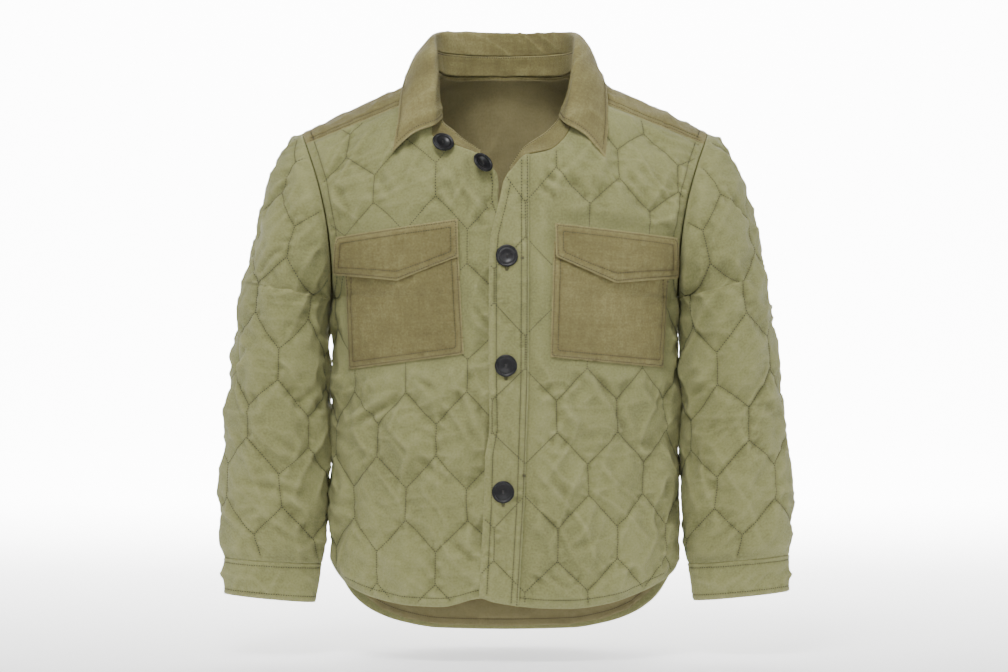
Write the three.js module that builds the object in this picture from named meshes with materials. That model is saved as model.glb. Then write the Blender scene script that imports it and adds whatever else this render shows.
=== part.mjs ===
// A quilted shirt-jacket, worn and filled out, with no wearer.
// Millimetres. +X is the wearer's left, -Y the front, +Z up.
// The origin is the middle of the neck's base, level with the shoulders' high points.
//
// Cloth is cut in its own coordinates: a point of a panel is (s, t), with s the length around
// from the middle of the row and t the length along the panel, and a row is one level of the body
// or of the sleeve. A panel is an outline in (s, t), filled with the quilting's own lattice.
import * as THREE from 'three';

// Cloth and quilting
const QUILT_WALL = 2.6;        // shell, wadding and lining, pressed flat
const PUFF = 3.0;              // how far a quilted cell rises over its stitching
const TWILL_WALL = 2.0;        // two layers of twill, as on the yoke, flaps and collar
const BAG_WALL = 1.6;          // a patch pocket's twill with its turned edges
const BAG_OFF = 0.9;           // how far a bag lies off its panel
const FLAP_OVER = 1.1;         // how far a flap's lower part lies off the bag under it
const PLACKET_OFF = 0.85;      // how far the placket lies off the left front
const LINING_WALL = 1.0;
const SEAM_GAP = 0.3;          // between two pieces at a seam
const CELL = { width: 71, step: 71.5, edge: 36 };   // onion quilting: upright edges and slants
const STITCH_REACH = 26;       // a cell is at its full height this far from its stitching
const FULLNESS = 0.8;          // below 1 the cells are fuller than a sine's half wave
const SEAM_FADE = [1, 16];     // the puff grows between these distances from an outline
const PATCH_FADE = [12, 32];   // and between these distances from what is sewn on top

// Buttons
const BUTTON = { radius: 12.4, thick: 3.6, rim: 2.6, dish: 1.3, sides: 24 };
const BUTTON_LIFT = { front_right: 0.5, placket: 0.7 };

// Armhole: a tilted oval ring, from the armpit up to the shoulder's tip
const HOLE = { middleZ: -163, halfHeight: 95, armpitX: 198, tipX: 233, bow: 13, front: 72, back: 76 };

// Body rows, from the front hem over the shoulder to the back hem.
// y, z: the row's middle; hole: where its end lies on the armhole, in degrees, 180 at the armpit
// and below it; width: half the width below the armpit; fall: 1 falls straight to the end of the
// row, 2 in a curve.
const BODY_ROWS = [
  { y: -107, z: -665, hole: 180, width: 197.0, fall: 2 },
  { y: -108, z: -605, hole: 180, width: 197.0, fall: 2 },
  { y: -111, z: -536, hole: 180, width: 196.7, fall: 2 },
  { y: -113, z: -470, hole: 180, width: 195.6, fall: 2 },
  { y: -116, z: -400, hole: 180, width: 194.4, fall: 2 },
  { y: -118, z: -340, hole: 180, width: 194.6, fall: 2 },
  { y: -120, z: -258, hole: 180, width: 198.0, fall: 2 },
  { y: -119, z: -228, hole: 135, width: 198.0, fall: 2 },
  { y: -115, z: -190, hole: 110, width: 198.0, fall: 2 },
  { y: -107, z: -145, hole: 90, width: 198.0, fall: 1.6 },
  { y: -95, z: -100, hole: 75, width: 198.0, fall: 1.4 },
  { y: -80, z: -60, hole: 60, width: 198.0, fall: 1.25 },
  { y: -62, z: -25, hole: 46, width: 198.0, fall: 1.1 },
  { y: -44, z: 8.8, hole: 32, width: 198.0, fall: 1, seam: 'front yoke' },
  { y: -24, z: 29, hole: 16, width: 198.0, fall: 1 },
  { y: 0, z: 41.7, hole: 0, width: 198.0, fall: 1, seam: 'ridge' },
  { y: 26, z: 36, hole: 13, width: 198.0, fall: 1 },
  { y: 50, z: 22, hole: 25, width: 198.0, fall: 1.15 },
  { y: 75, z: 2.6, hole: 35, width: 198.0, fall: 1.5 },
  { y: 92, z: -22, hole: 42, width: 198.0, fall: 1.7 },
  { y: 100, z: -52, hole: 50, width: 198.0, fall: 1.8 },
  { y: 105, z: -85, hole: 58, width: 198.0, fall: 1.9 },
  { y: 108, z: -113, hole: 64, width: 198.0, fall: 2, seam: 'back yoke' },
  { y: 110, z: -150, hole: 84, width: 198.0, fall: 2 },
  { y: 112, z: -190, hole: 105, width: 198.0, fall: 2 },
  { y: 111, z: -228, hole: 132, width: 198.0, fall: 2 },
  { y: 108, z: -258, hole: 180, width: 198.0, fall: 2 },
  { y: 100, z: -340, hole: 180, width: 194.6, fall: 2 },
  { y: 98, z: -400, hole: 180, width: 194.4, fall: 2 },
  { y: 100, z: -470, hole: 180, width: 195.6, fall: 2 },
  { y: 104, z: -536, hole: 180, width: 196.7, fall: 2 },
  { y: 108, z: -605, hole: 180, width: 197.0, fall: 2 },
  { y: 108, z: -665, hole: 180, width: 197.0, fall: 2 },
];

const object = new THREE.Group();

const degrees = THREE.MathUtils.degToRad;
const mix = THREE.MathUtils.lerp;
const clamp = THREE.MathUtils.clamp;
const smooth = THREE.MathUtils.smoothstep;

// A smooth curve through the values of one column of a table, which never overshoots them.
function through(positions, values) {
  const n = positions.length;
  const slope = [];
  for (let i = 0; i < n - 1; i++) slope.push((values[i + 1] - values[i]) / (positions[i + 1] - positions[i]));
  const lean = [slope[0]];
  for (let i = 1; i < n - 1; i++) {
    const before = slope[i - 1];
    const after = slope[i];
    lean.push(before * after <= 0 ? 0 : (2 * before * after) / (before + after));
  }
  lean.push(slope[n - 2]);
  return (p) => {
    let i = 0;
    while (i < n - 2 && p > positions[i + 1]) i++;
    const width = positions[i + 1] - positions[i];
    const u = (p - positions[i]) / width;
    if (u < 0) return values[i] + lean[i] * (p - positions[i]);
    if (u > 1) return values[i + 1] + lean[i + 1] * (p - positions[i + 1]);
    const a = values[i] * (1 + 2 * u) * (1 - u) ** 2 + values[i + 1] * u * u * (3 - 2 * u);
    return a + width * (lean[i] * u * (1 - u) ** 2 + lean[i + 1] * u * u * (u - 1));
  };
}

function columns(rows, positions, names) {
  const curves = names.map((name) => through(positions, rows.map((row) => row[name])));
  return (p) => Object.fromEntries(names.map((name, i) => [name, curves[i](p)]));
}

// A point of the armhole's ring. face is -1 in front and 1 behind.
function armhole(angle, face) {
  const a = degrees(angle);
  const half = (HOLE.tipX - HOLE.armpitX) / 2;
  const x = HOLE.armpitX + half * (1 + Math.cos(a)) - HOLE.bow * Math.sin(a) ** 2;
  const y = (face < 0 ? -HOLE.front : HOLE.back) * Math.sin(a);
  return new THREE.Vector3(x, y, HOLE.middleZ + HOLE.halfHeight * Math.cos(a));
}

// A body row is part of an ellipse, from its middle to its end on the side seam or the armhole.
// Near the shoulder's ridge the ellipse is eased, so that the row stays smooth at its ends.
const ARC_STEPS = 40;
const EASE = { end: 6, middle: 8 };
function bodyRow(row) {
  const below = row.hole > 179.99;
  const face = row.y < 0 ? -1 : 1;
  const end = armhole(Math.min(row.hole, 180), face);
  end.x += row.width - HOLE.armpitX;
  if (below) end.set(row.width, 0, row.z);
  const ease = (1 + Math.cos(degrees(Math.min(row.hole, 180)))) / 2;
  const ratio = (Math.abs(end.y) + EASE.end * ease) / (Math.abs(row.y) + EASE.middle * ease);
  const turn = Math.acos(clamp(ratio, 0, 1));
  const at = (angle) => {
    const part = Math.sin(angle) / Math.sin(turn);
    const deep = (Math.cos(angle) - Math.cos(turn)) / (1 - Math.cos(turn));
    const z = row.z + (end.z - row.z) * Math.abs(part) ** row.fall;
    return new THREE.Vector3(end.x * part, end.y + (row.y - end.y) * deep, z);
  };
  const lengths = [0];
  let last = at(0);
  for (let i = 1; i <= ARC_STEPS; i++) {
    const next = at((turn * i) / ARC_STEPS);
    lengths.push(lengths[i - 1] + next.distanceTo(last));
    last = next;
  }
  const length = lengths[ARC_STEPS];
  const angleAt = (s) => {
    const far = Math.abs(s);
    let i = 0;
    while (i < ARC_STEPS - 1 && far > lengths[i + 1]) i++;
    const u = (far - lengths[i]) / (lengths[i + 1] - lengths[i]);
    return (Math.sign(s) * turn * (i + u)) / ARC_STEPS;
  };
  const lengthAtX = (x) => {
    const part = Math.min(Math.abs(x) / end.x, 1);
    const angle = Math.asin(Math.min(part * Math.sin(turn), 1));
    const i = Math.min(Math.floor((angle / turn) * ARC_STEPS), ARC_STEPS - 1);
    const u = (angle / turn) * ARC_STEPS - i;
    return Math.sign(x) * mix(lengths[i], lengths[i + 1], u);
  };
  return { length, lengthAtX, point: (s) => at(angleAt(s)) };
}

// t runs over the shoulder along the line at this x, from zero at the ridge.
const MEASURE_X = 120;
function measured(rows, make, pick, zero) {
  const marks = rows.map((row) => pick(make(row)));
  const along = [0];
  for (let i = 1; i < marks.length; i++) along.push(along[i - 1] + marks[i].distanceTo(marks[i - 1]));
  const start = along[zero];
  return along.map((length) => length - start);
}
const ridge = BODY_ROWS.findIndex((row) => row.seam === 'ridge');
const bodyT = measured(BODY_ROWS, bodyRow, (row) => row.point(row.lengthAtX(MEASURE_X)), ridge);
const seamT = (name) => bodyT[BODY_ROWS.findIndex((row) => row.seam === name)];
const bodyColumns = columns(BODY_ROWS, bodyT, ['y', 'z', 'hole', 'width', 'fall']);

const remembered = new Map();
function bodyRowAt(t) {
  const key = t.toFixed(3);
  if (!remembered.has(key)) remembered.set(key, bodyRow(bodyColumns(t)));
  return remembered.get(key);
}
const bodyPoint = (s, t) => bodyRowAt(t).point(s);

// The (s, t) of the body's point with this x and this y or z, between two levels.
function onBody(x, axis, value, low, high) {
  const miss = (t) => bodyRowAt(t).point(bodyRowAt(t).lengthAtX(x))[axis] - value;
  let [a, b] = [low, high];
  const rising = miss(b) > miss(a);
  for (let i = 0; i < 24; i++) {
    const middle = (a + b) / 2;
    if (miss(middle) > 0 === rising) b = middle;
    else a = middle;
  }
  return [bodyRowAt(a).lengthAtX(x), a];
}
const HEM_T = bodyT[0] + 8;
const front = (x, z) => onBody(x, 'z', z, HEM_T, -2);
const top = (x, y) => onBody(x, 'y', y, -60, 80);
const back = (x, z) => onBody(x, 'z', z, 20, bodyT[bodyT.length - 1] - 8);

// Sleeve rows, from the shoulder's tip to the cuff's end: the outer and the inner point of the
// row, where it ends on the armhole, half its depth below the armhole, and how far it lies back.
const SLEEVE_ROWS = {
  left: [
    { outX: 233, outZ: -68, hole: 0, inX: 198, inZ: -258, depth: 74, y: 0 },
    { outX: 244, outZ: -79, hole: 27, inX: 198, inZ: -258, depth: 74, y: 0 },
    { outX: 255, outZ: -96, hole: 50, inX: 198, inZ: -258, depth: 74, y: 0 },
    { outX: 274, outZ: -137, hole: 86, inX: 198, inZ: -258, depth: 74, y: 0 },
    { outX: 287.5, outZ: -194, hole: 128, inX: 198, inZ: -258, depth: 74, y: 0 },
    { outX: 297, outZ: -235, hole: 180, inX: 198, inZ: -258, depth: 74, y: 1 },
    { outX: 303, outZ: -275, hole: 180, inX: 203, inZ: -300, depth: 72, y: 2 },
    { outX: 310.5, outZ: -328, hole: 180, inX: 201.5, inZ: -358, depth: 67, y: 3 },
    { outX: 320.5, outZ: -415, hole: 180, inX: 201.5, inZ: -440, depth: 57, y: 0 },
    { outX: 325, outZ: -470, hole: 180, inX: 203, inZ: -492, depth: 50, y: -4 },
    { outX: 326.5, outZ: -515, hole: 180, inX: 204.5, inZ: -531, depth: 43, y: -8 },
    { outX: 325.5, outZ: -551, hole: 180, inX: 209, inZ: -561, depth: 33, y: -11, seam: 'cuff' },
    { outX: 325.5, outZ: -593, hole: 180, inX: 215, inZ: -604, depth: 24, y: -13, seam: 'end' },
  ],
  right: [
    { outX: 233, outZ: -68, hole: 0, inX: 198, inZ: -258, depth: 74, y: 0 },
    { outX: 244, outZ: -79, hole: 27, inX: 198, inZ: -258, depth: 74, y: 0 },
    { outX: 255, outZ: -98, hole: 50, inX: 198, inZ: -258, depth: 74, y: 0 },
    { outX: 273, outZ: -145, hole: 88, inX: 198, inZ: -258, depth: 74, y: 0 },
    { outX: 287, outZ: -204, hole: 130, inX: 198, inZ: -258, depth: 74, y: 0 },
    { outX: 296, outZ: -245, hole: 180, inX: 198, inZ: -258, depth: 74, y: 1 },
    { outX: 302, outZ: -285, hole: 180, inX: 203, inZ: -302, depth: 72, y: 2 },
    { outX: 309.5, outZ: -338, hole: 180, inX: 201.5, inZ: -358, depth: 67, y: 3 },
    { outX: 319, outZ: -415, hole: 180, inX: 201.5, inZ: -436, depth: 57, y: 0 },
    { outX: 323.5, outZ: -465, hole: 180, inX: 203, inZ: -484, depth: 50, y: -4 },
    { outX: 325, outZ: -512, hole: 180, inX: 204.5, inZ: -526, depth: 43, y: -8 },
    { outX: 322, outZ: -554, hole: 180, inX: 209, inZ: -561, depth: 33, y: -11, seam: 'cuff' },
    { outX: 322, outZ: -596, hole: 180, inX: 216, inZ: -606, depth: 24, y: -13, seam: 'end' },
  ],
};

// A sleeve row goes from its outer point both ways round, to the armhole or the underarm seam.
function sleeveRow(row) {
  const turn = degrees(Math.min(row.hole, 180) + 90 * (1 - Math.min(row.hole, 180) / 180) ** 2);
  const sides = [-1, 1].map((face) => {
    const end = armhole(Math.min(row.hole, 180), face);
    const below = row.hole > 179.5;
    const endX = below ? row.inX : end.x;
    const endZ = below ? row.inZ : end.z;
    const halfX = (row.outX - endX) / (1 - Math.cos(turn));
    const halfZ = (row.outZ - endZ) / (1 - Math.cos(turn));
    const deep = below ? face * row.depth : end.y / Math.sin(turn);
    const at = (angle) => new THREE.Vector3(
      row.outX - halfX * (1 - Math.cos(angle)),
      row.y + deep * Math.sin(angle),
      row.outZ - halfZ * (1 - Math.cos(angle)),
    );
    const lengths = [0];
    let last = at(0);
    for (let i = 1; i <= ARC_STEPS; i++) {
      const next = at((turn * i) / ARC_STEPS);
      lengths.push(lengths[i - 1] + next.distanceTo(last));
      last = next;
    }
    return { at, lengths, length: lengths[ARC_STEPS] };
  });
  const point = (s) => {
    const { at, lengths } = sides[s < 0 ? 0 : 1];
    const far = Math.abs(s);
    let i = 0;
    while (i < ARC_STEPS - 1 && far > lengths[i + 1]) i++;
    const u = (far - lengths[i]) / Math.max(lengths[i + 1] - lengths[i], 1e-6);
    return at((turn * (i + u)) / ARC_STEPS);
  };
  return { length: [sides[0].length, sides[1].length], point };
}

function makeSleeve(name, side) {
  const rows = SLEEVE_ROWS[name];
  const marks = rows.map((row) => {
    const made = sleeveRow(row);
    return made.point(-made.length[0] * 0.4);
  });
  const along = [0];
  for (let i = 1; i < marks.length; i++) along.push(along[i - 1] + marks[i].distanceTo(marks[i - 1]));
  const values = columns(rows, along, ['outX', 'outZ', 'hole', 'inX', 'inZ', 'depth', 'y']);
  const made = new Map();
  const rowAt = (t) => {
    const key = t.toFixed(3);
    if (!made.has(key)) made.set(key, sleeveRow(values(Math.max(t, 0.01))));
    return made.get(key);
  };
  const point = (s, t) => {
    const p = rowAt(t).point(s);
    return new THREE.Vector3(side * (p.x + 2 * SEAM_GAP), p.y, p.z);
  };
  const level = (seam) => along[rows.findIndex((row) => row.seam === seam)];
  const armpit = along[rows.findIndex((row) => row.hole === 180)];
  return { point, rowAt, cuff: level('cuff'), end: level('end'), armpit, side };
}
const SLEEVES = { left: makeSleeve('left', 1), right: makeSleeve('right', -1) };

// The outward normal of a surface at a cloth point, found from its neighbours.
function normalOf(point, s, t, facing) {
  const step = 0.6;
  const across = point(s + step, t).sub(point(s - step, t));
  const along = point(s, t + step).sub(point(s, t - step));
  return across.cross(along).normalize().multiplyScalar(facing);
}

// Distance from a cloth point to the nearest line of quilting.
function toStitch(s, t, pattern) {
  const { width, step, edge } = CELL;
  const level = (t - pattern.t + edge / 2) / step;
  const row = Math.floor(level);
  const y = (level - row) * step;
  const turns = (s - pattern.s) / width + (row % 2 === 0 ? 0 : 0.5);
  const x = Math.abs(turns - Math.round(turns)) * width;
  const half = width / 2;
  const lines = [
    [0, 0, 0, edge], [0, edge, half, step],
    [half, edge - step, 0, 0], [half, step, half, step + edge],
  ];
  return Math.min(...lines.map(([x0, y0, x1, y1]) => toLine(x, y, x0, y0, x1, y1)));
}
function toLine(x, y, x0, y0, x1, y1) {
  const u = clamp(((x - x0) * (x1 - x0) + (y - y0) * (y1 - y0)) / ((x1 - x0) ** 2 + (y1 - y0) ** 2), 0, 1);
  return Math.hypot(x - x0 - u * (x1 - x0), y - y0 - u * (y1 - y0));
}
function toOutline(x, y, outline) {
  let best = Infinity;
  outline.forEach(([x0, y0], i) => {
    const [x1, y1] = outline[(i + 1) % outline.length];
    best = Math.min(best, toLine(x, y, x0, y0, x1, y1));
  });
  return best;
}
function inside(x, y, outline) {
  let odd = false;
  outline.forEach(([x0, y0], i) => {
    const [x1, y1] = outline[(i + 1) % outline.length];
    if (y0 > y !== y1 > y && x < x0 + ((y - y0) * (x1 - x0)) / (y1 - y0)) odd = !odd;
  });
  return odd;
}

// The lattice of a panel's inside: columns a quarter cell apart, and rows at the ends of the
// upright stitch lines and halfway down the slants, so that all stitching lies on its edges.
function lattice(outline, pattern, margin) {
  const [width, step, edge] = [CELL.width, CELL.step, CELL.edge].map((size) => size * (pattern.scale ?? 1));
  const s = outline.map((p) => p[0]);
  const t = outline.map((p) => p[1]);
  const first = Math.floor((Math.min(...s) - pattern.s) / (width / 4)) - 1;
  const last = Math.ceil((Math.max(...s) - pattern.s) / (width / 4)) + 1;
  const low = Math.floor((Math.min(...t) - pattern.t) / step) - 1;
  const high = Math.ceil((Math.max(...t) - pattern.t) / step) + 1;
  const points = [];
  const faces = [];
  const wide = last - first + 1;
  const levels = [];
  for (let m = low; m <= high; m++) {
    const parts = pattern.even ? [0, step / 4, step / 2, (3 * step) / 4] : [0, edge, (edge + step) / 2];
    for (const part of parts) levels.push({ t: pattern.t - edge / 2 + m * step + part, m });
  }
  levels.forEach((level) => {
    for (let k = first; k <= last; k++) points.push([pattern.s + (k * width) / 4, level.t]);
  });
  const keep = points.map(([x, y]) => inside(x, y, outline) && toOutline(x, y, outline) > margin);
  for (let j = 0; j < levels.length - 1; j++) {
    for (let k = first; k < last; k++) {
      const a = j * wide + k - first;
      const corners = [a, a + 1, a + wide + 1, a + wide];
      const place = (((k - 2 * (levels[j].m & 1)) % 4) + 4) % 4;
      const split = place < 2 ? [[0, 1, 2], [0, 2, 3]] : [[0, 1, 3], [1, 2, 3]];
      for (const three of split) {
        const face = three.map((i) => corners[i]);
        if (face.every((i) => keep[i])) faces.push(face);
      }
    }
  }
  return { points, faces };
}

// The edges around a set of faces, from each corner to the next ones.
function rimOf(faces) {
  const edges = new Map();
  faces.forEach((face) => face.forEach((a, i) => {
    const b = face[(i + 1) % 3];
    if (edges.has(`${b},${a}`)) edges.delete(`${b},${a}`);
    else edges.set(`${a},${b}`, [a, b]);
  }));
  const following = new Map();
  for (const [a, b] of edges.values()) following.set(a, [...(following.get(a) ?? []), b]);
  return following;
}

// Fills an outline: the lattice inside, and a strip of triangles between it and the outline.
function fill(outline, pattern, margin) {
  const grid = lattice(outline, pattern, margin);
  let following = rimOf(grid.faces);
  let pinched = [...following.keys()].filter((a) => following.get(a).length > 1);
  while (pinched.length) {
    const bad = new Set(pinched);
    grid.faces = grid.faces.filter((face) => !face.some((a) => bad.has(a)));
    following = rimOf(grid.faces);
    pinched = [...following.keys()].filter((a) => following.get(a).length > 1);
  }
  const loops = [];
  while (following.size) {
    const loop = [];
    let at = following.keys().next().value;
    while (following.has(at)) {
      loop.push(at);
      const [to] = following.get(at);
      following.delete(at);
      at = to;
    }
    loops.push(loop);
  }
  const points = outline.map((p) => [...p]);
  const index = new Map();
  const numberOf = (i) => {
    if (!index.has(i)) {
      index.set(i, points.length);
      points.push(grid.points[i]);
    }
    return index.get(i);
  };
  const contour = outline.map(([x, y]) => new THREE.Vector2(x, y));
  const holes = loops.map((loop) => loop.map((i) => new THREE.Vector2(...grid.points[i])));
  const order = outline.map((_, i) => i).concat(loops.flat().map(numberOf));
  const area = (a, b, c) => (points[b][0] - points[a][0]) * (points[c][1] - points[a][1])
    - (points[c][0] - points[a][0]) * (points[b][1] - points[a][1]);
  const forward = ([a, b, c]) => (area(a, b, c) > 0 ? [a, b, c] : [a, c, b]);
  const between = THREE.ShapeUtils.triangulateShape(contour, holes)
    .map((face) => forward(face.map((i) => order[i])));
  shorten(points, between, area);
  return { points, faces: [...between, ...grid.faces.map((face) => forward(face.map(numberOf)))] };
}

// Turns the shared edge of two faces where the other way across is shorter, until none is.
function shorten(points, faces, area) {
  const size = (a, b) => Math.hypot(points[a][0] - points[b][0], points[a][1] - points[b][1]);
  for (let round = 0; round < 30; round++) {
    const owner = new Map();
    faces.forEach((face, f) => face.forEach((a, i) => owner.set(`${a},${face[(i + 1) % 3]}`, f)));
    const turned = new Set();
    faces.forEach((face, f) => {
      for (let i = 0; i < 3 && !turned.has(f); i++) {
        const [a, b, c] = [face[i], face[(i + 1) % 3], face[(i + 2) % 3]];
        const g = owner.get(`${b},${a}`);
        if (g === undefined || turned.has(g)) continue;
        const d = faces[g].find((p) => p !== a && p !== b);
        const convex = area(c, a, d) > 1e-3 && area(d, b, c) > 1e-3;
        if (!convex || size(c, d) > size(a, b) - 1e-6) continue;
        faces[f] = [c, a, d];
        faces[g] = [d, b, c];
        turned.add(f).add(g);
      }
    });
    if (!turned.size) return;
  }
}

// Joins equal points and leaves out what has shrunk to a line.
const JOIN = 200;              // points are equal when they agree to 1 / 200 mm
function meshFrom(name, corners, faces, material) {
  const index = new Map();
  const kept = [];
  const to = corners.map((p) => {
    const key = p.toArray().map((v) => Math.round(v * JOIN)).join(',');
    if (!index.has(key)) {
      index.set(key, kept.length);
      kept.push(p);
    }
    return index.get(key);
  });
  const joined = faces.map((face) => face.map((i) => to[i]))
    .filter(([a, b, c]) => a !== b && b !== c && c !== a);
  const geometry = new THREE.BufferGeometry();
  geometry.setAttribute('position', new THREE.Float32BufferAttribute(kept.flatMap((p) => p.toArray()), 3));
  geometry.setIndex(joined.flat());
  geometry.computeVertexNormals();
  const mesh = new THREE.Mesh(geometry, material);
  mesh.name = name;
  object.add(mesh);
  return mesh;
}

// A closed wall over an outline of a surface. out and inn give the distance of its two faces from
// the surface, rim may turn the wall's edge where two pieces meet at an angle, sewn tells which
// edges close on each other, and a plain inside has a lattice twice as wide. The lattice keeps
// the margin off the outline.
const MARGIN = 7;
const PLAIN = { scale: 2, margin: 12 };
function panel(name, {
  outline, point, facing, pattern, out, inn, rim, sewn, margin = MARGIN, plain, material,
}) {
  const outer = fill(outline, pattern, margin);
  const inner = plain ? fill(outline, { ...pattern, scale: PLAIN.scale }, PLAIN.margin) : outer;
  const n = outer.points.length;
  const border = outline.length;
  const corners = [];
  for (const [flat, side] of [[outer, out], [inner, inn]]) {
    flat.points.forEach(([s, t], i) => {
      const p = point(s, t);
      const free = i < border && rim ? rim(p, s, t) : null;
      const normal = free ?? normalOf(point, s, t, facing);
      corners.push(p.addScaledVector(normal, side(s, t, i < border)));
    });
  }
  const faces = outer.faces.map(([a, b, c]) => (facing > 0 ? [a, b, c] : [a, c, b]));
  inner.faces.forEach(([a, b, c]) => faces.push(facing > 0 ? [a + n, c + n, b + n] : [a + n, b + n, c + n]));
  const turned = outline.reduce((sum, [x, y], i) => {
    const [x1, y1] = outline[(i + 1) % border];
    return sum + x * y1 - x1 * y;
  }, 0) > 0;
  for (let i = 0; i < border; i++) {
    if (sewn && sewn(outline[i], outline[(i + 1) % border])) continue;
    const ends = turned ? [i, (i + 1) % border] : [(i + 1) % border, i];
    const [a, b] = facing > 0 ? ends : [ends[1], ends[0]];
    faces.push([a, a + n, b + n], [a, b + n, b]);
  }
  return meshFrom(name, corners, faces, material);
}

// Colours and surfaces of the cloth and the buttons
const quiltCloth = (shade) => new THREE.MeshStandardMaterial({ color: shade, roughness: 0.85, metalness: 0 });
const twillCloth = (shade) => new THREE.MeshStandardMaterial({ color: shade, roughness: 0.9, metalness: 0 });
const SAGE = 0x94926c;
const TWILL = 0x8a7d56;
const LINING = 0x6a6243;
const BLACK = 0x15161a;

// Seams and edges of the body, as x and z seen from the front, or as x and y seen from above
const SIDE_BOTTOM = -567;
const NECK = {
  left: [top(0, 75), top(32, 68), top(58, 50), top(73, 26), top(78.5, 0),
    [bodyRowAt(seamT('front yoke')).lengthAtX(80), seamT('front yoke')],
    front(78, -50), front(69, -75), front(51, -92), front(38, -95.5), front(23, -99), front(7, -116)],
  right: [top(0, 75), top(32, 68), top(58, 50), top(73, 26), top(78.5, 0),
    [bodyRowAt(seamT('front yoke')).lengthAtX(80), seamT('front yoke')],
    front(81, -50), front(82, -74), front(66, -82), front(51, -88.5), front(28, -97)],
};
const SEAM_STATION = 5;        // where the neckline crosses the front yoke seam
const NECK_STEPS = 3;          // points of the neckline for each of its stations
const HEM = {
  left: [[-29, -591], [-14, -597], [15, -602], [41, -604.5], [75, -605.5], [113, -601.5], [150, -591],
    [178, -579.5]],
  right: [[20, -592], [-29, -594], [-73, -603.5], [-102, -603], [-147, -596], [-178, -584]],
  back: [[-178, -603], [-153, -625], [-121, -638.5], [-78, -647], [0, -649.5], [78, -647], [121, -638.5],
    [153, -625], [178, -603]],
};
const FRONT_EDGE = {
  left: [[4, -119], [-1, -130], [-7, -158], [-15, -190], [-17, -220], [-17, -350], [-16, -405], [-21, -433],
    [-22, -480], [-28, -591]],
  right: [[-28, -97], [-9, -119], [-7, -130], [-8, -150], [0, -172], [14, -200], [20, -232], [20, -410],
    [20, -592]],
};
const PLACKET = {
  left: [[3, -120], [-2, -130], [-8, -158], [-16, -190], [-18, -220], [-18, -350], [-17, -405], [-22, -433],
    [-23, -480], [-29, -591]],
  right: [[27, -98], [26.5, -220], [26, -350], [22, -480], [15, -601]],
};
const PATTERN = {
  front_left: { s: 58, t: front(58, -390)[1] },
  front_right: { s: -78, t: front(78, -417.7)[1] },
  back: { s: 0, t: back(0, -400)[1] },
  sleeve_left: { s: -79, t: 357 },
  sleeve_right: { s: -61, t: 357 },
  plain: { s: 0, t: 0, even: true },
  flap: { s: 0, t: 0, scale: 0.7, even: true },
  lining: { s: 0, t: 0, scale: 2, even: true },
};

const lengthAt = (t) => bodyRowAt(t).length - SEAM_GAP / 2;
function spread(from, to, step) {
  const n = Math.max(1, Math.round(Math.abs(to - from) / step));
  return Array.from({ length: n + 1 }, (_, i) => mix(from, to, i / n));
}
const down = (side, from, to, step = 15) => spread(from, to, step).map((t) => [side * lengthAt(t), t]);
const across = (t, from, to, step = 20) => spread(from, to, step).map((s) => [s, t]);
const seen = (points, find, step = 18) => points.flatMap(([x, z], i) => {
  if (i === points.length - 1) return [find(x, z)];
  const [x1, z1] = points[i + 1];
  const n = Math.max(1, Math.round(Math.hypot(x1 - x, z1 - z) / step));
  return Array.from({ length: n }, (_, k) => find(mix(x, x1, k / n), mix(z, z1, k / n)));
});
function chain(...parts) {
  const all = parts.flat();
  return all.filter(([s, t], i) => {
    const [s1, t1] = all[(i + 1) % all.length];
    return Math.hypot(s1 - s, t1 - t) > 0.5;
  });
}

// The neckline as cloth points, from the middle of the back to a front end.
function neckline(name, side, from, to) {
  const stations = NECK[name];
  const numbers = stations.map((_, i) => i);
  const curveS = through(numbers, stations.map((p) => p[0]));
  const curveT = through(numbers, stations.map((p) => p[1]));
  const n = Math.round((to - from) * NECK_STEPS);
  return Array.from({ length: n + 1 }, (_, i) => {
    const u = mix(from, to, i / n);
    return [side * curveS(u), curveT(u)];
  });
}
const neckEnd = (name) => NECK[name].length - 1;

const frontSeam = seamT('front yoke');
const backSeam = seamT('back yoke');
const half = SEAM_GAP / 2;
const frontArmpit = bodyT[BODY_ROWS.findIndex((row) => row.z === -258 && row.y < 0)];
const backArmpit = bodyT[BODY_ROWS.findIndex((row) => row.z === -258 && row.y > 0)];
const frontSide = front(190, SIDE_BOTTOM)[1];
const backSide = back(190, SIDE_BOTTOM)[1];

const neckAtSeam = (name) => neckline(name, 1, SEAM_STATION, SEAM_STATION + 1)[0][0];
const FINE = 12;               // steps along the armhole
const SIDE_END = 196.4;        // where the hems end beside the side seams

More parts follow.
